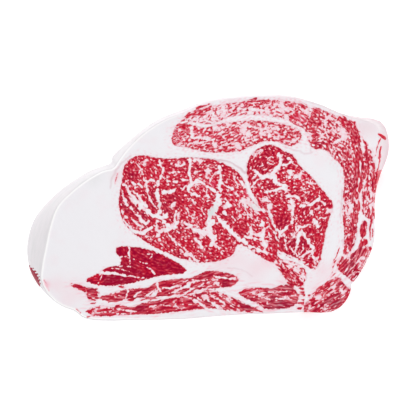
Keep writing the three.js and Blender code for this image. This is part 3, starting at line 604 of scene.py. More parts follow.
def bundles(seed, spacing, stretch, warp):
    """Bundles of fibres: cells round scattered middles, stretched along the grain, and more so in a
    streaky muscle. Gives each point's distance to its cell's border in mm, and a random number of its
    cell, from -1 to 1."""
    chance = np.random.default_rng(seed)
    rows, columns = np.arange(YS[0], YS[-1], spacing * 0.95), np.arange(XS[0], XS[-1], spacing * 1.1)
    mx, my = np.meshgrid(columns, rows)
    mx = mx + (np.arange(len(rows)) % 2)[:, None] * spacing * 0.55
    middles = np.stack([mx.ravel(), my.ravel()], 1) + chance.uniform(-0.38, 0.38, (mx.size, 2)) * spacing
    ix = np.clip(((middles[:, 0] - XS[0]) / STEP).astype(int), 0, NX - 1)
    iy = np.clip(((middles[:, 1] - YS[0]) / STEP).astype(int), 0, NY - 1)
    kept = depth[iy, ix] > -2
    middles, ix, iy = middles[kept], ix[kept], iy[kept]
    turn = np.arctan2(sin_grain[iy, ix], cos_grain[iy, ix]) / 2
    drawn_out = stretch + 2.5 * streaky[iy, ix]
    size = chance.uniform(0.8, 1.25, len(middles))
    value = chance.uniform(-1, 1, len(middles))
    lit = depth[::COARSE, ::COARSE] > -2
    x = (GX + warp[0])[::COARSE, ::COARSE][lit]
    y = (GY + warp[1])[::COARSE, ::COARSE][lit]
    nearest, second = np.full(len(x), 1e3), np.full(len(x), 1e3)
    cell = np.zeros(len(x), int)
    for k, (px, py) in enumerate(middles):
        close = np.nonzero((np.abs(x - px) < 3 * spacing) & (np.abs(y - py) < 3 * spacing))[0]
        dx, dy = x[close] - px, y[close] - py
        along = (dx * np.cos(turn[k]) + dy * np.sin(turn[k])) / drawn_out[k]
        across = dy * np.cos(turn[k]) - dx * np.sin(turn[k])
        away = np.hypot(along, across) / size[k]
        first = away < nearest[close]
        second[close] = np.where(first, nearest[close], np.minimum(second[close], away))
        cell[close[first]] = k
        nearest[close] = np.minimum(nearest[close], away)
    border = np.zeros(lit.shape)
    border[lit] = (second - nearest) / 2
    number = np.zeros(lit.shape)
    number[lit] = value[cell]
    return enlarge(border, COARSE), enlarge(number, COARSE)


# The distance that stands for everything far from a seam, in mm
FAR = 6.0


def seam_distance(seams, wobble):
    """Distance outside the nearest broad seam, negative in it. A seam's half width goes evenly from its
    start to its end, rounds off at both ends, and swells and narrows with the wobble. Its line bends
    with the same warp as the bundles."""
    out = np.full((NY, NX), FAR)
    for start, end, pixels in seams:
        x, y = from_photo(*np.array(pixels, float).T)
        run = np.concatenate([[0], np.cumsum(np.hypot(np.diff(x), np.diff(y)))])
        fine = np.linspace(0, run[-1], max(6, int(run[-1] / 0.6)))
        x, y = np.interp(fine, run, x), np.interp(fine, run, y)
        half = (start + (end - start) * fine / run[-1]) / 2
        i0, i1 = np.searchsorted(XS, [x.min() - FAR - 1, x.max() + FAR + 1])
        j0, j1 = np.searchsorted(YS, [y.min() - FAR - 1, y.max() + FAR + 1])
        gx = GX[j0:j1, i0:i1] + 0.3 * warp[0][j0:j1, i0:i1]
        gy = GY[j0:j1, i0:i1] + 0.3 * warp[1][j0:j1, i0:i1]
        swell = 1 + 0.5 * wobble[j0:j1, i0:i1]
        near = np.full(gx.shape, FAR)
        for px, py, h in zip(x, y, half):
            near = np.minimum(near, np.hypot(gx - px, gy - py) - h * swell)
        out[j0:j1, i0:i1] = np.minimum(out[j0:j1, i0:i1], near)
    return out


def strand_grids():
    """Where the fat is streaked with lean outside the muscles: distance inside the nearest strand zone,
    and how high its streaks' noise has to be to show as lean."""
    inside, level = np.full((NY, NX), -FAR), np.full((NY, NX), 3.0)
    for start, end, height, pixels in STRANDS:
        zone = -seam_distance([(start, end, pixels)], STEADY)
        level = np.where(zone > inside, height, level)
        inside = np.maximum(inside, zone)
    return inside, level


def hill_grids(patches):
    """Two grids that add up the patches' two strengths, each as a soft round hill."""
    one, two = np.zeros((NY, NX)), np.zeros((NY, NX))
    for x, y, radius, first, second in patches:
        px, py = from_photo(x, y)
        hill = np.exp(-((GX - px) ** 2 + (GY - py) ** 2) / (radius * PHOTO_PIXEL) ** 2)
        one += first * hill
        two += second * hill
    return one, two


STEADY = np.zeros((NY, NX))
warp = [1.1 * soft_noise(seed, 7) + 0.5 * soft_noise(seed + 1, 2.2) for seed in (11, 13)]
seam_gap = seam_distance(SEAMS, 0.7 * soft_noise(15, 2.5)) + 0.16 * soft_noise(16, 1.5)
patch_tone, patch_rich = hill_grids(PATCHES)
pink_tinge, grey_tinge = hill_grids(TINGES)
strand_depth, strand_level = strand_grids()


def by_streak(curly, straight):
    """Two noises mixed by how streaky each muscle is, and kept as strong as one."""
    return (curly * (1 - streaky) + straight * streaky) / np.hypot(1 - streaky, streaky)


def lean_distance(seed):
    """Distance in mm inside the lean, negative in fat: the least of the distances to the seams between
    broad and small bundles, to curly lines and blobs of fat drawn out along the grain, to round specks and
    to the muscle's own border. A noise's height over its level, divided by its steepness, stands for the
    distance. With it come a random number of each place's bundles and the fine uneven threads of a veil of
    fat."""
    broad_border, broad_number = bundles(seed + 5, 11.0, 1.8, warp)
    small_border, small_number = bundles(seed + 6, 4.0, 2.0, warp)
    broad_seam = np.clip(0.42 * soft_noise(seed + 31, 9) - 0.10 - 0.8 * patch_rich, -0.4, 1.7)
    small_seam = np.clip(0.30 * soft_noise(seed + 32, 4) - 0.5 * patch_rich, -0.5, 0.9)
    lines = evened(grain_noise(seed + 3, 2.3, 5.0), 4.0)
    curls = by_streak(evened(grain_noise(seed + 1, 3.1, 1.8), 4.0),
                      evened(grain_noise(seed + 7, 3.6, 6.0), 5.0))
    blobs = by_streak(evened(grain_noise(seed + 4, 2.3, 1.8), 4.0), lines)
    specks = evened(grain_noise(seed + 2, 2.0, 1.4, 0.38), 5.0)
    uneven, ragged = soft_noise(seed + 33, 2.5), soft_noise(seed + 34, 1.6)
    curl_half = (0.15 + 0.30 * soft_noise(seed + 35, 4) + 0.15 * ragged - 0.5 * patch_rich
                 - 0.25 * (blob_level - 0.5))
    inner = np.minimum.reduce([
        (np.abs(curls - 0.30) - curl_half) / 1.6,
        (0.4 + blob_level + 0.3 * uneven + 0.8 * patch_rich - blobs) / 2.1,
        (2.1 + 1.2 * streaky + 0.4 * uneven - specks) / 2.6,
        broad_border - broad_seam,
        0.9 * (small_border - small_seam),
    ])
    inner += fullness + 0.12 * np.exp(-((depth - 0.5) / 0.9) ** 2)
    inner = np.minimum.reduce([inner, seam_gap, depth + 0.25 * ragged + 0.10])
    strands = np.minimum((lines - strand_level - 0.3 * uneven) / 2.0, strand_depth)
    threads = by_streak(evened(grain_noise(seed + 8, 1.9, 2.2), 4.0),
                        evened(grain_noise(seed + 9, 2.0, 8.0), 4.0))
    return np.maximum(inner, strands), 0.6 * broad_number + 0.4 * small_number, threads


lean_top, number_top, threads_top = lean_distance(0)
lean_under, _, _ = lean_distance(100)
slow = soft_noise(51, 22)
tone_grid = darkness + patch_tone + 0.30 * number_top - 0.35 * threads_top
tone_grid = np.where(depth > -0.6, tone_grid, 0.2 - 0.3 * threads_top)
veil_grid = np.clip(veil_share * np.exp(1.3 * threads_top - 0.6), 0, 0.5) * ramp(depth, -6.5, -1.5)
skin_lines = np.zeros((NY, NX))
for width, strength, pixels in SKIN_LINES:
    line = -seam_distance([(width, width, pixels)], STEADY)
    skin_lines = np.maximum(skin_lines, strength * ramp(line, -width, 0))
wall_marks = -seam_distance(WALL_MARKS, STEADY)
lean_top = np.maximum(lean_top, wall_marks)


# The slice's outer wall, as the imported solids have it: how far it stands out at each level

RING_LEVELS = np.array([0, 0.06, 0.2, 0.36, 0.54, 0.7, 0.84, 0.94]) * THICKNESS
rings = [depth_grid(closed_up(wall_edges(every_triangle, height, height == 0)), 2 * COARSE)
         for height in RING_LEVELS]
# The height of the cut edge's rounding and of the foot's, and how far the finish stays inside the solids
TOP_ROUNDING, FOOT_ROUNDING, INSIDE_BY = 1.8, 1.2, 0.02
WALL_LEVELS = np.concatenate([[31.7, 31.2, 30.6, 29.8], np.linspace(28.4, 2.4, 10), [1.3, 0.6, 0.2]])


def edge_normals(x, y):
    """Unit vectors that point out of the slice: the way that the depth below its edge falls, over 8 mm."""
    in_x, in_y = climb(edge_depth, x, y, 4.0)
    size = np.hypot(in_x, in_y) + 1e-9
    return -in_x / size, -in_y / size


def ring_distance(x, y, nx, ny, ring):
    """How far along its normal each point meets a ring: each point goes on by the depth that it is still
    inside the ring, until it lies on it."""
    out = np.zeros(len(x))
    for _ in range(10):
        out += sample(ring, x + nx * out, y + ny * out)
    return out


def wall_reach(x, y, nx, ny, heights):
    """How far the wall stands out of the cut face's edge at each height (points, heights): a smooth curve
    through the rings, rounded in at the cut edge and at the foot."""
    at = np.stack([ring_distance(x, y, nx, ny, ring) for ring in rings], 1)
    at = np.maximum(at, at.max(1, keepdims=True) * 0.15)
    level = RING_LEVELS[1:]
    ring = at[:, 1:]
    top = ring[:, -1] + (ring[:, -1] - ring[:, -2]) * (THICKNESS - level[-1]) / (level[-1] - level[-2])
    foot = ring[:, 0] - (ring[:, 1] - ring[:, 0]) * level[0] / (level[1] - level[0])
    level = np.concatenate([[0], level, [THICKNESS]])
    ring = np.concatenate([foot[:, None], ring, top[:, None]], 1)
    slope = np.gradient(ring, level, axis=1)
    k = np.clip(np.searchsorted(level, heights) - 1, 0, len(level) - 2)
    gap = level[k + 1] - level[k]
    t = (heights - level[k]) / gap
    curve = ((2 * t ** 3 - 3 * t ** 2 + 1) * ring[:, k] + (t ** 3 - 2 * t ** 2 + t) * gap * slope[:, k]
             + (3 * t ** 2 - 2 * t ** 3) * ring[:, k + 1] + (t ** 3 - t ** 2) * gap * slope[:, k + 1])
    near_top = ramp(heights, THICKNESS - TOP_ROUNDING, THICKNESS)
    near_foot = ramp(heights, FOOT_ROUNDING, 0)
    curve -= top[:, None] * (1 - np.sqrt(1 - near_top ** 2))
    curve -= np.maximum(foot - at[:, 0], 0)[:, None] * (1 - np.sqrt(1 - near_foot ** 2))
    return curve - INSIDE_BY


def onto_edge(x, y):
    """The nearest places on the cut face's edge, and the unit vectors that point out of it there."""
    for _ in range(4):
        nx, ny = edge_normals(x, y)
        away = sample(edge_depth, x, y)
        x, y = x + nx * away, y + ny * away
    return x, y, nx, ny


def foot_shift():
    """How the underside is moved out from under the cut face, as two full grids: near the edge by what
    the nearest point of the wall's foot stands out, less and less with depth."""
    every = 8
    xs, ys = XS[::every], YS[::every]
    gx, gy = np.meshgrid(xs, ys)
    middle = outer_edge.mean(1)
    nx, ny = edge_normals(middle[:, 0], middle[:, 1])
    out = wall_reach(middle[:, 0], middle[:, 1], nx, ny, np.array([0.0]))[:, 0]
    away2 = (gx[..., None] - middle[:, 0]) ** 2 + (gy[..., None] - middle[:, 1]) ** 2
    weight = 1 / (away2 + 1.0) ** 2
    weight /= weight.sum(-1, keepdims=True)
    fade = ramp(sample(edge_depth, gx, gy), REACH, 0)
    return [enlarge((weight * n * out).sum(-1) * fade, every) for n in (nx, ny)]


shift_x, shift_y = foot_shift()

# How the face undulates: long low swells, a shallow groove along each muscle's border, and lean that
# stands a little lower than the firm fat
SWELL, GROOVE, LEAN_SUNK = 0.22, 0.16, 0.07
face_height = THICKNESS - 0.03 - SWELL * (1 + np.tanh(slow)) / 2 - GROOVE * np.exp(-(depth / 1.1) ** 2)
face_height -= LEAN_SUNK * (1 + np.tanh(lean_top / 0.4)) / 2
underside_height = 0.12 * (1 + np.tanh(soft_noise(52, 18))) / 2


def cut_grid(region, step, low, high):
    """Flat mesh of a region: a square grid whose points near the outline are pulled onto it. No grid edge
    then crosses the outline, so each triangle lies inside or outside. A square with opposite corners on
    both sides is split along its other diagonal, and so is one of which the pull left a sliver.
    Slivers along the outline are left out. Gives points (N, 2) and triangles (T, 3)."""
    xs = np.arange(math.floor(low[0] / step) - 2, math.ceil(high[0] / step) + 3) * step
    ys = np.arange(math.floor(low[1] / step) - 2, math.ceil(high[1] / step) + 3) * step
    x, y = np.meshgrid(xs, ys)
    inside = sample(region, x, y)
    pulled = np.abs(inside) < 0.5 * step
    for _ in range(3):
        px, py = x[pulled], y[pulled]
        d = sample(region, px, py)
        sx, sy = np.array(climb(region, px, py, 0.2)) / 0.4
        steep = np.maximum(sx ** 2 + sy ** 2, 0.25)
        x[pulled] -= d * sx / steep
        y[pulled] -= d * sy / steep
    side = np.where(pulled, 0, np.sign(inside)).astype(int)
    number = np.arange(x.size).reshape(x.shape)
    a, b = number[:-1, :-1].ravel(), number[:-1, 1:].ravel()
    c, d = number[1:, 1:].ravel(), number[1:, :-1].ravel()
    x, y, s = x.ravel(), y.ravel(), side.ravel()

    def is_sliver(p, q, r):
        """Whether a triangle is turned over or has less than a five-hundredth of a square's area."""
        return (x[q] - x[p]) * (y[r] - y[p]) - (y[q] - y[p]) * (x[r] - x[p]) < 0.004 * step ** 2

    other = (s[a] * s[c] < 0) | ((is_sliver(a, b, c) | is_sliver(a, c, d)) & (s[b] * s[d] >= 0))
    first = np.where(other[:, None], np.stack([a, b, d], 1), np.stack([a, b, c], 1))
    second = np.where(other[:, None], np.stack([b, c, d], 1), np.stack([a, c, d], 1))
    triangles = np.concatenate([first, second])
    sides = s[triangles]
    centre = sample(region, x[triangles].mean(1), y[triangles].mean(1))
    kept = np.where((sides == 0).all(1), (centre > 0) & ~is_sliver(*triangles.T), (sides >= 0).all(1))
    triangles = triangles[kept]
    used, index = np.unique(triangles, return_inverse=True)
    triangles = index.reshape(-1, 3)
    return np.stack([x[used], y[used]], 1), triangles


def outline_edges(triangles):
    """Edges from a to b that only one triangle uses, with the region on their left."""
    edges = np.concatenate([triangles[:, [0, 1]], triangles[:, [1, 2]], triangles[:, [2, 0]]])
    code = edges.min(1) * (triangles.max() + 1) + edges.max(1)
    _, first, count = np.unique(code, return_index=True, return_counts=True)
    return edges[first[count == 1]]


def wall_faces(top_a, top_b, low_a, low_b):
    """Two triangles for each four-sided wall face from a to b, given its upper and its lower corners."""
    return np.concatenate([np.stack([low_a, low_b, top_b], 1), np.stack([low_a, top_b, top_a], 1)])


def make_mesh(name, places, faces, uv, values, flat):
    """Mesh object from places in mm (N, 3), triangles, one UV a corner and named values a point. The faces
    marked flat are shaded flat."""
    mesh = bpy.data.meshes.new(name)
    mesh.vertices.add(len(places))
    mesh.vertices.foreach_set("co", (places * MM).astype(np.float32).ravel())
    mesh.loops.add(faces.size)
    mesh.loops.foreach_set("vertex_index", faces.astype(np.int32).ravel())
    mesh.polygons.add(len(faces))
    mesh.polygons.foreach_set("loop_start", np.arange(len(faces), dtype=np.int32) * 3)
    mesh.polygons.foreach_set("use_smooth", ~flat)
    mesh.update(calc_edges=True)
    mesh.uv_layers.new(name="OFBake").data.foreach_set("uv", uv.astype(np.float32).ravel())
    for key, value in values.items():
        mesh.attributes.new(key, "FLOAT", "POINT").data.foreach_set("value", value.astype(np.float32))
    piece = bpy.data.objects.new(name, mesh)
    bpy.context.scene.collection.objects.link(piece)
    return piece


def wall_film_and_painted_shade(x, y):
    """Shares of grey, of pink and of silver skin's colour on the outer wall at each place: dull and grey
    round the left end and the shoulder, the grey partly a clear film and partly painted shade of the side
    wall;
    pinker along the top and the right; and brownish at the right corner, where the silver skin's colour is
    painted shade."""
    left = ramp(x, -10, -60)
    right = ramp(x, 40, 80) * ramp(y, 12, 24)
    corner = ramp(x, 100, 116) * ramp(y, 12, 24)
    pink = 0.10 + 0.08 * (1 - left) + 0.45 * right * (1 - 0.8 * corner)
    return 0.28 + 0.20 * left + 0.35 * right, pink, 0.6 * corner


def slice_piece(name, region, step):
    """One piece of the slice, closed: its part of the cut face, its part of the underside, and the wall
    between them. Where the piece reaches the slice's edge its wall follows the bulging outer wall, and
    elsewhere it is upright."""
    low = np.array([XS[(region > 0).any(0)].min(), YS[(region > 0).any(1)].min()])
    high = np.array([XS[(region > 0).any(0)].max(), YS[(region > 0).any(1)].max()])
    flat, top = cut_grid(region, step, low, high)
    x, y = flat.T
    count = len(flat)
    edges = outline_edges(top)
    on_edge = np.zeros(count, bool)
    on_edge[edges.ravel()] = True
    outer = on_edge & (np.abs(sample(edge_depth, x, y)) < step)
    nx, ny = edge_normals(x, y)
    height = sample(face_height, x, y)
    under_x = x + sample(shift_x, x, y)
    under_y = y + sample(shift_y, x, y)
    places = [np.stack([x, y, height], 1)]
    rim = np.nonzero(outer)[0]
    reach = wall_reach(x[rim], y[rim], nx[rim], ny[rim], np.concatenate([WALL_LEVELS, [0.0]]))
    under_x[rim] = x[rim] + nx[rim] * reach[:, -1]
    under_y[rim] = y[rim] + ny[rim] * reach[:, -1]
    low_z = np.where(on_edge, 0.0, sample(underside_height, under_x, under_y))
    places.append(np.stack([under_x, under_y, low_z], 1))
    levels = len(WALL_LEVELS)
    wall_x = x[rim, None] + nx[rim, None] * reach[:, :-1]
    wall_y = y[rim, None] + ny[rim, None] * reach[:, :-1]
    wall_z = np.broadcast_to(WALL_LEVELS, wall_x.shape)
    places.append(np.stack([wall_x, wall_y, wall_z], 2).reshape(-1, 3))
    places = np.concatenate(places)

    # Point numbers down each rim point's column, from the face to the underside
    column = np.zeros((count, levels + 2), int)
    column[:, 0] = np.arange(count)
    column[:, -1] = count + np.arange(count)
    column[rim, 1:-1] = 2 * count + np.arange(len(rim) * levels).reshape(-1, levels)
    a, b = edges.T
    on_a, on_b = outer[a], outer[b]
    from_a, from_b = column[a[on_a & on_b]], column[b[on_a & on_b]]
    bulging = [wall_faces(from_a[:, k], from_b[:, k], from_a[:, k + 1], from_b[:, k + 1])
               for k in range(levels + 1)]
    bulging = np.concatenate(bulging)
    from_a, from_b = column[a[~on_a & ~on_b]], column[b[~on_a & ~on_b]]
    upright = [wall_faces(from_a[:, 0], from_b[:, 0], from_a[:, -1], from_b[:, -1])]
    # Where an edge runs from the outer wall into the slice, or back, a fan closes its column on the wall
    # against the foot of its other end
    leaving, inner = column[a[on_a & ~on_b]], column[b[on_a & ~on_b]]
    back, inner_back = column[b[~on_a & on_b]], column[a[~on_a & on_b]]
    for k in range(levels + 1):
        upright.append(np.stack([leaving[:, k], leaving[:, k + 1], inner[:, -1]], 1))
        upright.append(np.stack([back[:, k + 1], back[:, k], inner_back[:, -1]], 1))
    upright.append(np.stack([leaving[:, 0], inner[:, -1], inner[:, 0]], 1))
    upright.append(np.stack([inner_back[:, 0], inner_back[:, -1], back[:, 0]], 1))
    upright = np.concatenate(upright)
    faces = np.concatenate([top, count + top[:, ::-1], bulging, upright])
    flat_shaded = np.arange(len(faces)) >= len(faces) - len(upright)

    # Values for the material: on the wall, what the face shows just inside the edge runs down as streaks,
    # and the silver skin's colour, painted shade at the right corner, comes in over its upper half
    inward = 1.2
    wx = np.repeat(x[rim] - nx[rim] * inward, levels)
    wy = np.repeat(y[rim] - ny[rim] * inward, levels)
    wall = np.arange(len(places)) >= 2 * count
    fx, fy = np.concatenate([x, x, wx]), np.concatenate([y, y, wy])
    under = np.zeros(len(places), bool)
    under[count:2 * count] = True
    grey, pink, skin_and_shade = wall_film_and_painted_shade(fx, fy)
    lean = np.where(under, sample(lean_under, fx, fy), sample(lean_top, fx, fy))
    if name == "cut_fat":
        below = THICKNESS - places[wall, 2]
        seen = [places[wall, axis] + VIEW_LEAN[axis] * below for axis in (0, 1)]
        lean[wall] = sample(wall_marks, *seen)
    # The wall's grey, partly film and partly painted shade, and its pink lap a little over the rim of the
    # cut face
    on_wall = wall.astype(float)
    on_wall[rim] = 0.4
    values = {
        "lean": lean,
        "tone": sample(tone_grid, fx, fy),
        "veil": sample(veil_grid, fx, fy) * (1 - 0.8 * wall),
        "grey": np.clip(sample(grey_tinge, fx, fy) * (1 - on_wall) + grey * on_wall, 0, 1),
        "pink": np.clip(sample(pink_tinge, fx, fy) * (1 - on_wall) + pink * on_wall, 0, 1),
        # On the face these are real lines of silver skin; on the wall, painted shade in silver skin's colour
        # at the right corner
        "skin_and_shade": np.where(wall, skin_and_shade * ramp(places[:, 2], THICKNESS, THICKNESS / 2),
                         np.where(under, 0, sample(skin_lines, fx, fy))),
        # The rim is a painted highlight: a bright line along the rounded cut edge at the left end of the
        # face
        "rim": np.exp(-(sample(edge_depth, fx, fy) / 0.7) ** 2) * (1 - wall) * ramp(fx, 0, -60),
    }

    uv = piece_uv(places, faces, len(top), len(bulging), low, high)
    return make_mesh(name, places, faces, uv, values, flat_shaded)


# In a piece's own picture: the rows that the outer wall is cut into, a row's height, and the scales of
# the underside and of the wall's height
WALL_ROWS, ROW_HEIGHT, UNDER_SCALE, WALL_SCALE = 6, 12, 0.42, 0.3


def piece_uv(places, faces, top_count, bulging_count, low, high):
    """Where each face corner lies in the piece's own square picture: the cut face along the bottom, the
    underside at a smaller scale above it, the outer wall beside that in rows, and the hidden upright walls
    in a narrow strip at the very top."""
    width, height = high - low + 4
    side = max(width, 1.5 * height + 30)
    corner = places[faces]
    uv = np.empty((len(faces), 3, 2))
    top, under = slice(0, top_count), slice(top_count, 2 * top_count)
    uv[top] = corner[top][..., :2] - low + 2
    middle = (low + high) / 2
    uv[under] = (corner[under][..., :2] - middle) * UNDER_SCALE + (0.25 * width, height + 0.25 * height)
    wall = slice(2 * top_count, 2 * top_count + bulging_count)
    if bulging_count:
        w = corner[wall]
        centre = w.mean(1)
        turn = np.arctan2(centre[:, 1], centre[:, 0])
        row = np.clip(((turn + np.pi) / math.tau * WALL_ROWS).astype(int), 0, WALL_ROWS - 1)
        start = -np.pi + row * math.tau / WALL_ROWS
        angle = np.arctan2(w[..., 1], w[..., 0])
        angle = np.where(angle - turn[:, None] > np.pi, angle - math.tau, angle)
        angle = np.where(turn[:, None] - angle > np.pi, angle + math.tau, angle)
        along = (angle - start[:, None]) / (math.tau / WALL_ROWS)
        uv[wall, :, 0] = width * (0.5 + 0.46 * along)
        uv[wall, :, 1] = height + 2 + row[:, None] * ROW_HEIGHT + w[..., 2] * WALL_SCALE
    hidden = slice(2 * top_count + bulging_count, len(faces))
    h = corner[hidden]
    uv[hidden, :, 0] = 2 + (h[..., 0] - low[0]) * 0.9
    uv[hidden, :, 1] = side - 3 + h[..., 2] * 0.05
    return uv / side


# Materials

def linear(colour):
    """Linear colour with alpha from an sRGB hex string such as "f3ecee"."""
    channels = [int(colour[i:i + 2], 16) / 255 for i in (0, 2, 4)]
    return [c / 12.92 if c <= 0.04045 else ((c + 0.055) / 1.055) ** 2.4 for c in channels] + [1.0]


def add(tree, kind, links=None, **settings):
    """A node with its settings, and its inputs set to numbers or linked to sockets."""
    made = tree.nodes.new(kind)
    for key, value in settings.items():
        setattr(made, key, value)
    for key, value in (links or {}).items():
        if isinstance(value, bpy.types.NodeSocket):
            tree.links.new(value, made.inputs[key])
        else:
            made.inputs[key].default_value = value
    return made


# Colours of lean, of fat, of the painted highlight on the fat's left cut edge and of the silver skin, as
# red, green and blue in hexadecimal. On the wall the grey is partly painted shade, and the silver skin's
# colour at the right corner is painted shade
LEAN_RED, LEAN_DARK, LEAN_PALE, LEAN_THIN = "c60026", "9a002c", "d85070", "ce0430"
FAT_WHITE, FAT_PAINTED_HIGHLIGHT, FAT_PINK, FAT_GREY, SILVER_SKIN_AND_SHADE = "e9e7eb", "fbfafa", "edbcc8", "d6d6d7", "c99aa6"

# The values that each piece's points carry to its material
CARRIED = ("lean", "tone", "veil", "grey", "pink", "skin_and_shade", "rim")

# The patterns in the meat: their size in metres and their detail
PATTERNS = {
    # Crumbs of fat about a millimetre across, which fray the border between lean and fat
    "crumbs": (0.0011, 2.0),
    # Fibre ends and crumbs of fat in the lean, too fine to show and so drawn 1.7 mm across
    "ends": (0.0017, 1.0),
    # Connective tissue in the fat, in clouds
    "clouds": (0.014, 4.0),
    # The grain that the knife leaves
    "grain": (0.0008, 3.0),
    # Folds in the skin on the wall, 16 mm long and a ninth of that high
    "folds": (0.016, 5.0),
}
FOLD_FLATNESS = 9.0
# How far in mm the crumbs move the border between lean and fat, each way
FRAY = 0.14


def raw_beef(name):
    """Raw marbled beef, cut with a knife and a little wet: deep red lean that glistens, with waxy white
    fat in it, pink where the lean shows through its thin edges."""
    material = bpy.data.materials.new(name)
    material.use_nodes = True
    tree = material.node_tree
    tree.nodes.clear()
    place = add(tree, "ShaderNodeTexCoord").outputs["Object"]
    flattened = add(tree, "ShaderNodeMapping", {"Vector": place, "Scale": (1.0, 1.0, FOLD_FLATNESS)})
    value = {}
    for key in CARRIED:
        value[key] = add(tree, "ShaderNodeAttribute", attribute_name=key).outputs["Fac"]
    for key, (size, detail) in PATTERNS.items():
        at = flattened.outputs[0] if key == "folds" else place
        pattern = add(tree, "ShaderNodeTexNoise", {"Vector": at, "Scale": 1 / size, "Detail": detail})
        value[key] = pattern.outputs["Fac"]

    fray = add(tree, "ShaderNodeMapRange", {0: value["crumbs"], 1: 0.25, 2: 0.75, 3: -FRAY, 4: FRAY})
    value["edge"] = add(tree, "ShaderNodeMath", {0: value["lean"], 1: fray.outputs[0]}).outputs[0]

    # Each share goes smoothly from its first number to its second, while what it follows goes from the
    # third to the fourth. Lean is pale or dark with its bundle, mottled by its fibre ends, and brighter at
    # its thin edges; fat is tinged by connective tissue, and pink for about a millimetre beside lean
    for key, source, first, last, low, high in (
            ("is_lean", "edge", 0.0, 1.0, -FRAY, FRAY), ("thin", "edge", 0.75, 0.0, 0.0, 0.45),
            ("dark", "tone", 0.0, 1.0, 0.0, 1.0), ("pale", "tone", 1.0, 0.0, -0.9, 0.0),
            ("crumbed", "ends", 0.0, 0.30, 0.56, 0.78), ("pitted", "ends", 0.75, 0.0, 0.26, 0.48),
            ("cloudy", "clouds", 0.0, 0.12, 0.5, 0.8), ("beside", "edge", 0.0, 0.6, -0.9, 0.0)):
        limits = {0: value[source], 1: low, 2: high, 3: first, 4: last}
        value[key] = add(tree, "ShaderNodeMapRange", limits, interpolation_type="SMOOTHSTEP").outputs[0]

    # The folds part the grey on the wall, partly film and partly painted shade, into streaks, and the veil's
    # threads tinge the fat too
    folded = add(tree, "ShaderNodeMapRange", {0: value["folds"], 1: 0.35, 2: 0.65, 3: -0.35, 4: 0.35})
    value["film_and_shade"] = add(tree, "ShaderNodeMath", {0: folded.outputs[0], 1: value["grey"], 2: value["grey"]},
                        operation="MULTIPLY_ADD", use_clamp=True).outputs[0]
    value["threads"] = add(tree, "ShaderNodeMath", {0: value["veil"], 1: 2.0},
                           operation="MULTIPLY", use_clamp=True).outputs[0]

    # Each tint is laid over the ones before it, the lean's first and then the fat's. The rim tint is a
    # painted highlight; on the wall the film tint is partly painted shade, and the skin tint is painted
    # shade at its right corner
    laid = []
    for colour, tints in (
            (LEAN_RED, (("dark", LEAN_DARK), ("pale", LEAN_PALE), ("crumbed", LEAN_PALE),
                        ("pitted", LEAN_DARK), ("thin", LEAN_THIN), ("veil", FAT_PINK))),
            (FAT_WHITE, (("cloudy", FAT_PINK), ("threads", FAT_PINK), ("pink", FAT_PINK), ("film_and_shade", FAT_GREY),
                         ("beside", FAT_PINK), ("rim", FAT_PAINTED_HIGHLIGHT), ("skin_and_shade", SILVER_SKIN_AND_SHADE)))):
        below = linear(colour)
        for key, tint in tints:
            mix = {0: value[key], 6: below, 7: linear(tint)}
            below = add(tree, "ShaderNodeMix", mix, data_type="RGBA").outputs[2]
        laid.append(below)
    mix = {0: value["is_lean"], 6: laid[1], 7: laid[0]}
    colour = add(tree, "ShaderNodeMix", mix, data_type="RGBA").outputs[2]

    # A thin film of wet on the lean; fine grain of the cut, with the lean a little lower than the fat
    sunk = add(tree, "ShaderNodeMath", {0: value["is_lean"], 1: -0.35}, operation="MULTIPLY").outputs[0]
    relief = add(tree, "ShaderNodeMath", {0: value["grain"], 1: 0.25, 2: sunk}, operation="MULTIPLY_ADD")
    bump = add(tree, "ShaderNodeBump", {"Height": relief.outputs[0], "Strength": 0.35, "Distance": 0.0004})
    bump = add(tree, "ShaderNodeBump", {"Height": value["folds"], "Strength": 0.5, "Distance": 0.0009,
                                        "Normal": bump.outputs["Normal"]})
    wet = add(tree, "ShaderNodeMapRange", {0: value["is_lean"], 3: 0.46, 4: 0.34}).outputs[0]
    shader = add(tree, "ShaderNodeBsdfPrincipled", {
        "Base Color": colour, "Roughness": wet, "Normal": bump.outputs["Normal"], "IOR": 1.38,
        "Specular IOR Level": 0.1})
    add(tree, "ShaderNodeOutputMaterial", {"Surface": shader.outputs["BSDF"]})
    return material


beef = raw_beef("raw_beef_marbled")
trimmed_fat = raw_beef("beef_fat_trimmed")

MUSCLE_STEP, FAT_STEP = 0.42, 0.6
TRIMMED = ("edge_strip", "lower_lobe", "corner_lobe")

# The muscle end on the left wall: the photo pixel it lies behind, half its length and its heights in mm
END_LOBE_PIXEL = (42, 278)
END_LOBE_HALF_LENGTH, END_LOBE_LOW, END_LOBE_HIGH = 6.5, 1.0, 30.0
# How far its back lies inside the fat, how far its middle stands out, and its points each way
END_LOBE_DEPTH, END_LOBE_SWELL, END_LOBE_POINTS = 2.5, 0.35, 61

for name in MUSCLES:
    region = np.minimum(muscle_depth[name], edge_depth) if name in TRIMMED else muscle_depth[name]
    piece = slice_piece("cut_" + name, region, MUSCLE_STEP)
    piece.data.materials.append(beef)
    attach(piece, "root")
    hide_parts(name)
fat = slice_piece("cut_fat", np.minimum(edge_depth, -depth), FAT_STEP)
fat.data.materials.append(trimmed_fat)
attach(fat, "root")
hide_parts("fat")


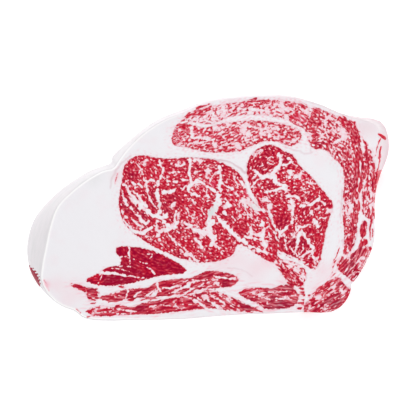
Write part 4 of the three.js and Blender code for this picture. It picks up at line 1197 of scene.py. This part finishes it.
def end_lobe():
    """The cut end of a muscle low on the left wall: a patch that swells a third of a millimetre out of the
    fat's wall in its middle and sinks into it round its border. Its back lies 2.5 mm inside the fat. Each
    point is reach(u, z) out of the cut face's edge, with u along the edge from the lobe's middle and z up,
    plus 0.35 less 0.75 times a ramp that climbs between 0.75 and 1.1 of the way to its border."""
    cx, cy, nx, ny = onto_edge(*np.array(from_photo(*END_LOBE_PIXEL)).reshape(2, 1))
    u = np.linspace(-END_LOBE_HALF_LENGTH * 1.25, END_LOBE_HALF_LENGTH * 1.25, END_LOBE_POINTS)
    x, y, nx, ny = onto_edge(cx - ny * u, cy + nx * u)
    z = np.clip(np.linspace(END_LOBE_LOW - 3, END_LOBE_HIGH + 3, END_LOBE_POINTS), 0.4, THICKNESS - 1)
    reach = wall_reach(x, y, nx, ny, z)
    x, y, nx, ny, u = (value[:, None] for value in (x, y, nx, ny, u))
    half = (END_LOBE_HIGH - END_LOBE_LOW) / 2
    round_ = np.hypot(u / END_LOBE_HALF_LENGTH, (z - END_LOBE_LOW - half) / half)
    ragged = 0.12 * np.sin(3.1 * u + 0.7 * z) + 0.08 * np.sin(1.3 * z - 2 * u)
    swell = END_LOBE_SWELL - 0.75 * ramp(round_ + ragged, 0.75, 1.1)
    places = [np.stack([x + nx * out, y + ny * out, 0 * u + z], 2).reshape(-1, 3)
              for out in (reach + swell, reach - END_LOBE_DEPTH)]
    places = np.concatenate(places)
    count = END_LOBE_POINTS ** 2
    number = np.arange(count).reshape(END_LOBE_POINTS, END_LOBE_POINTS)
    low_a, top_a = number[:-1, :-1].ravel(), number[:-1, 1:].ravel()
    low_b, top_b = number[1:, :-1].ravel(), number[1:, 1:].ravel()
    sheet = wall_faces(top_a, top_b, low_a, low_b)
    a, b = outline_edges(sheet).T
    sides = wall_faces(count + b, count + a, b, a)
    faces = np.concatenate([sheet, count + sheet[:, ::-1], sides])
    flat_uv = np.stack(np.broadcast_arrays(u - u[0], z), 2).reshape(-1, 2)
    flat_uv = np.concatenate([flat_uv, flat_uv * 0.5 + (0, 34)]) / 52 + 0.02
    uv = flat_uv[faces]
    uv[-len(sides):] = uv[-len(sides):] * 0.02 + 0.95
    values = {key: np.zeros(2 * count) for key in CARRIED}
    values["lean"] += 1
    values["tone"] += 1
    values["veil"] += 0.02 * np.sin(4 * places[:, 2]) + 0.02
    return make_mesh("cut_fat_end_lobe", places, faces, uv, values, np.zeros(len(faces), bool))


lobe = end_lobe()
lobe.data.materials.append(beef)
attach(lobe, "root")
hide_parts("fat_end_lobe")


# The table, the light and the camera

TABLE_HALF = 1.6
corners = [(x * TABLE_HALF, y * TABLE_HALF, 0) for x, y in ((-1, -1), (1, -1), (1, 1), (-1, 1))]
sheet = bpy.data.meshes.new("table")
sheet.from_pydata(corners, [], [(0, 1, 2, 3)])
table = bpy.data.objects.new("table", sheet)
bpy.context.scene.collection.objects.link(table)
paper = bpy.data.materials.new("matt_white_paper_lit_from_below")
paper.use_nodes = True
for socket, setting in (("Base Color", linear("fbfbfb")), ("Roughness", 0.9),
                        ("Emission Color", linear("ffffff")), ("Emission Strength", 0.30)):
    paper.node_tree.nodes["Principled BSDF"].inputs[socket].default_value = setting
table.data.materials.append(paper)
table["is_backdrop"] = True

world = bpy.data.worlds.new("studio")
bpy.context.scene.world = world
world.use_nodes = True

# White all round, and dark straight above, where the camera and its stand keep the light off
sky = world.node_tree
upward = add(sky, "ShaderNodeSeparateXYZ", {0: add(sky, "ShaderNodeTexCoord").outputs["Generated"]})
strength = add(sky, "ShaderNodeMapRange", {0: upward.outputs["Z"], 1: 0.60, 2: 0.90, 3: 1.0, 4: 0.05},
               interpolation_type="SMOOTHSTEP").outputs[0]
sky.links.new(strength, sky.nodes["Background"].inputs["Strength"])
sky.nodes["Background"].inputs["Color"].default_value = (1, 1, 1, 1)

# Softboxes round the table: name, angle round the table, height angle, size and watts
AWAY = 1.5
for title, turn, height, size, watts in (
        ("key", 120, 48, 0.9, 7.0), ("fill", 300, 42, 1.0, 5.0), ("side", 20, 42, 0.9, 5.0)):
    lamp = bpy.data.lights.new("softbox_" + title, "AREA")
    lamp.size, lamp.energy = size, watts
    light = bpy.data.objects.new("softbox_" + title, lamp)
    turn, height = math.radians(turn), math.radians(height)
    light.location = (AWAY * math.cos(turn) * math.cos(height), AWAY * math.sin(turn) * math.cos(height),
                      AWAY * math.sin(height))
    light.rotation_euler = (Vector((0, 0, 0)) - light.location).to_track_quat("-Z", "Y").to_euler()
    bpy.context.scene.collection.objects.link(light)

# A long lens almost straight above, far enough for the photograph's width to fill its frame
LENS, SENSOR = 135.0, 36.0
target_x, target_y = from_photo(PHOTO_SIZE / 2, PHOTO_SIZE / 2)
target = Vector((target_x, target_y, THICKNESS)) * MM
direction = Vector((*VIEW_LEAN, 1.0)).normalized()
camera = bpy.data.objects.new("camera", bpy.data.cameras.new("camera"))
camera.data.lens, camera.data.sensor_width = LENS, SENSOR
camera.location = target + direction * (PHOTO_SIZE * PHOTO_PIXEL * MM * LENS / SENSOR)
right = Vector((0, 1, 0)).cross(direction).normalized()
camera.rotation_euler = Matrix((right, direction.cross(right), direction)).transposed().to_euler()
camera.data.clip_end = 20
bpy.context.scene.collection.objects.link(camera)
bpy.context.scene.camera = camera
bpy.context.scene.view_settings.view_transform = "Standard"

size = {"cad_box": [list(c) for c in cad_box], "visual_box": [list(c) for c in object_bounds()]}
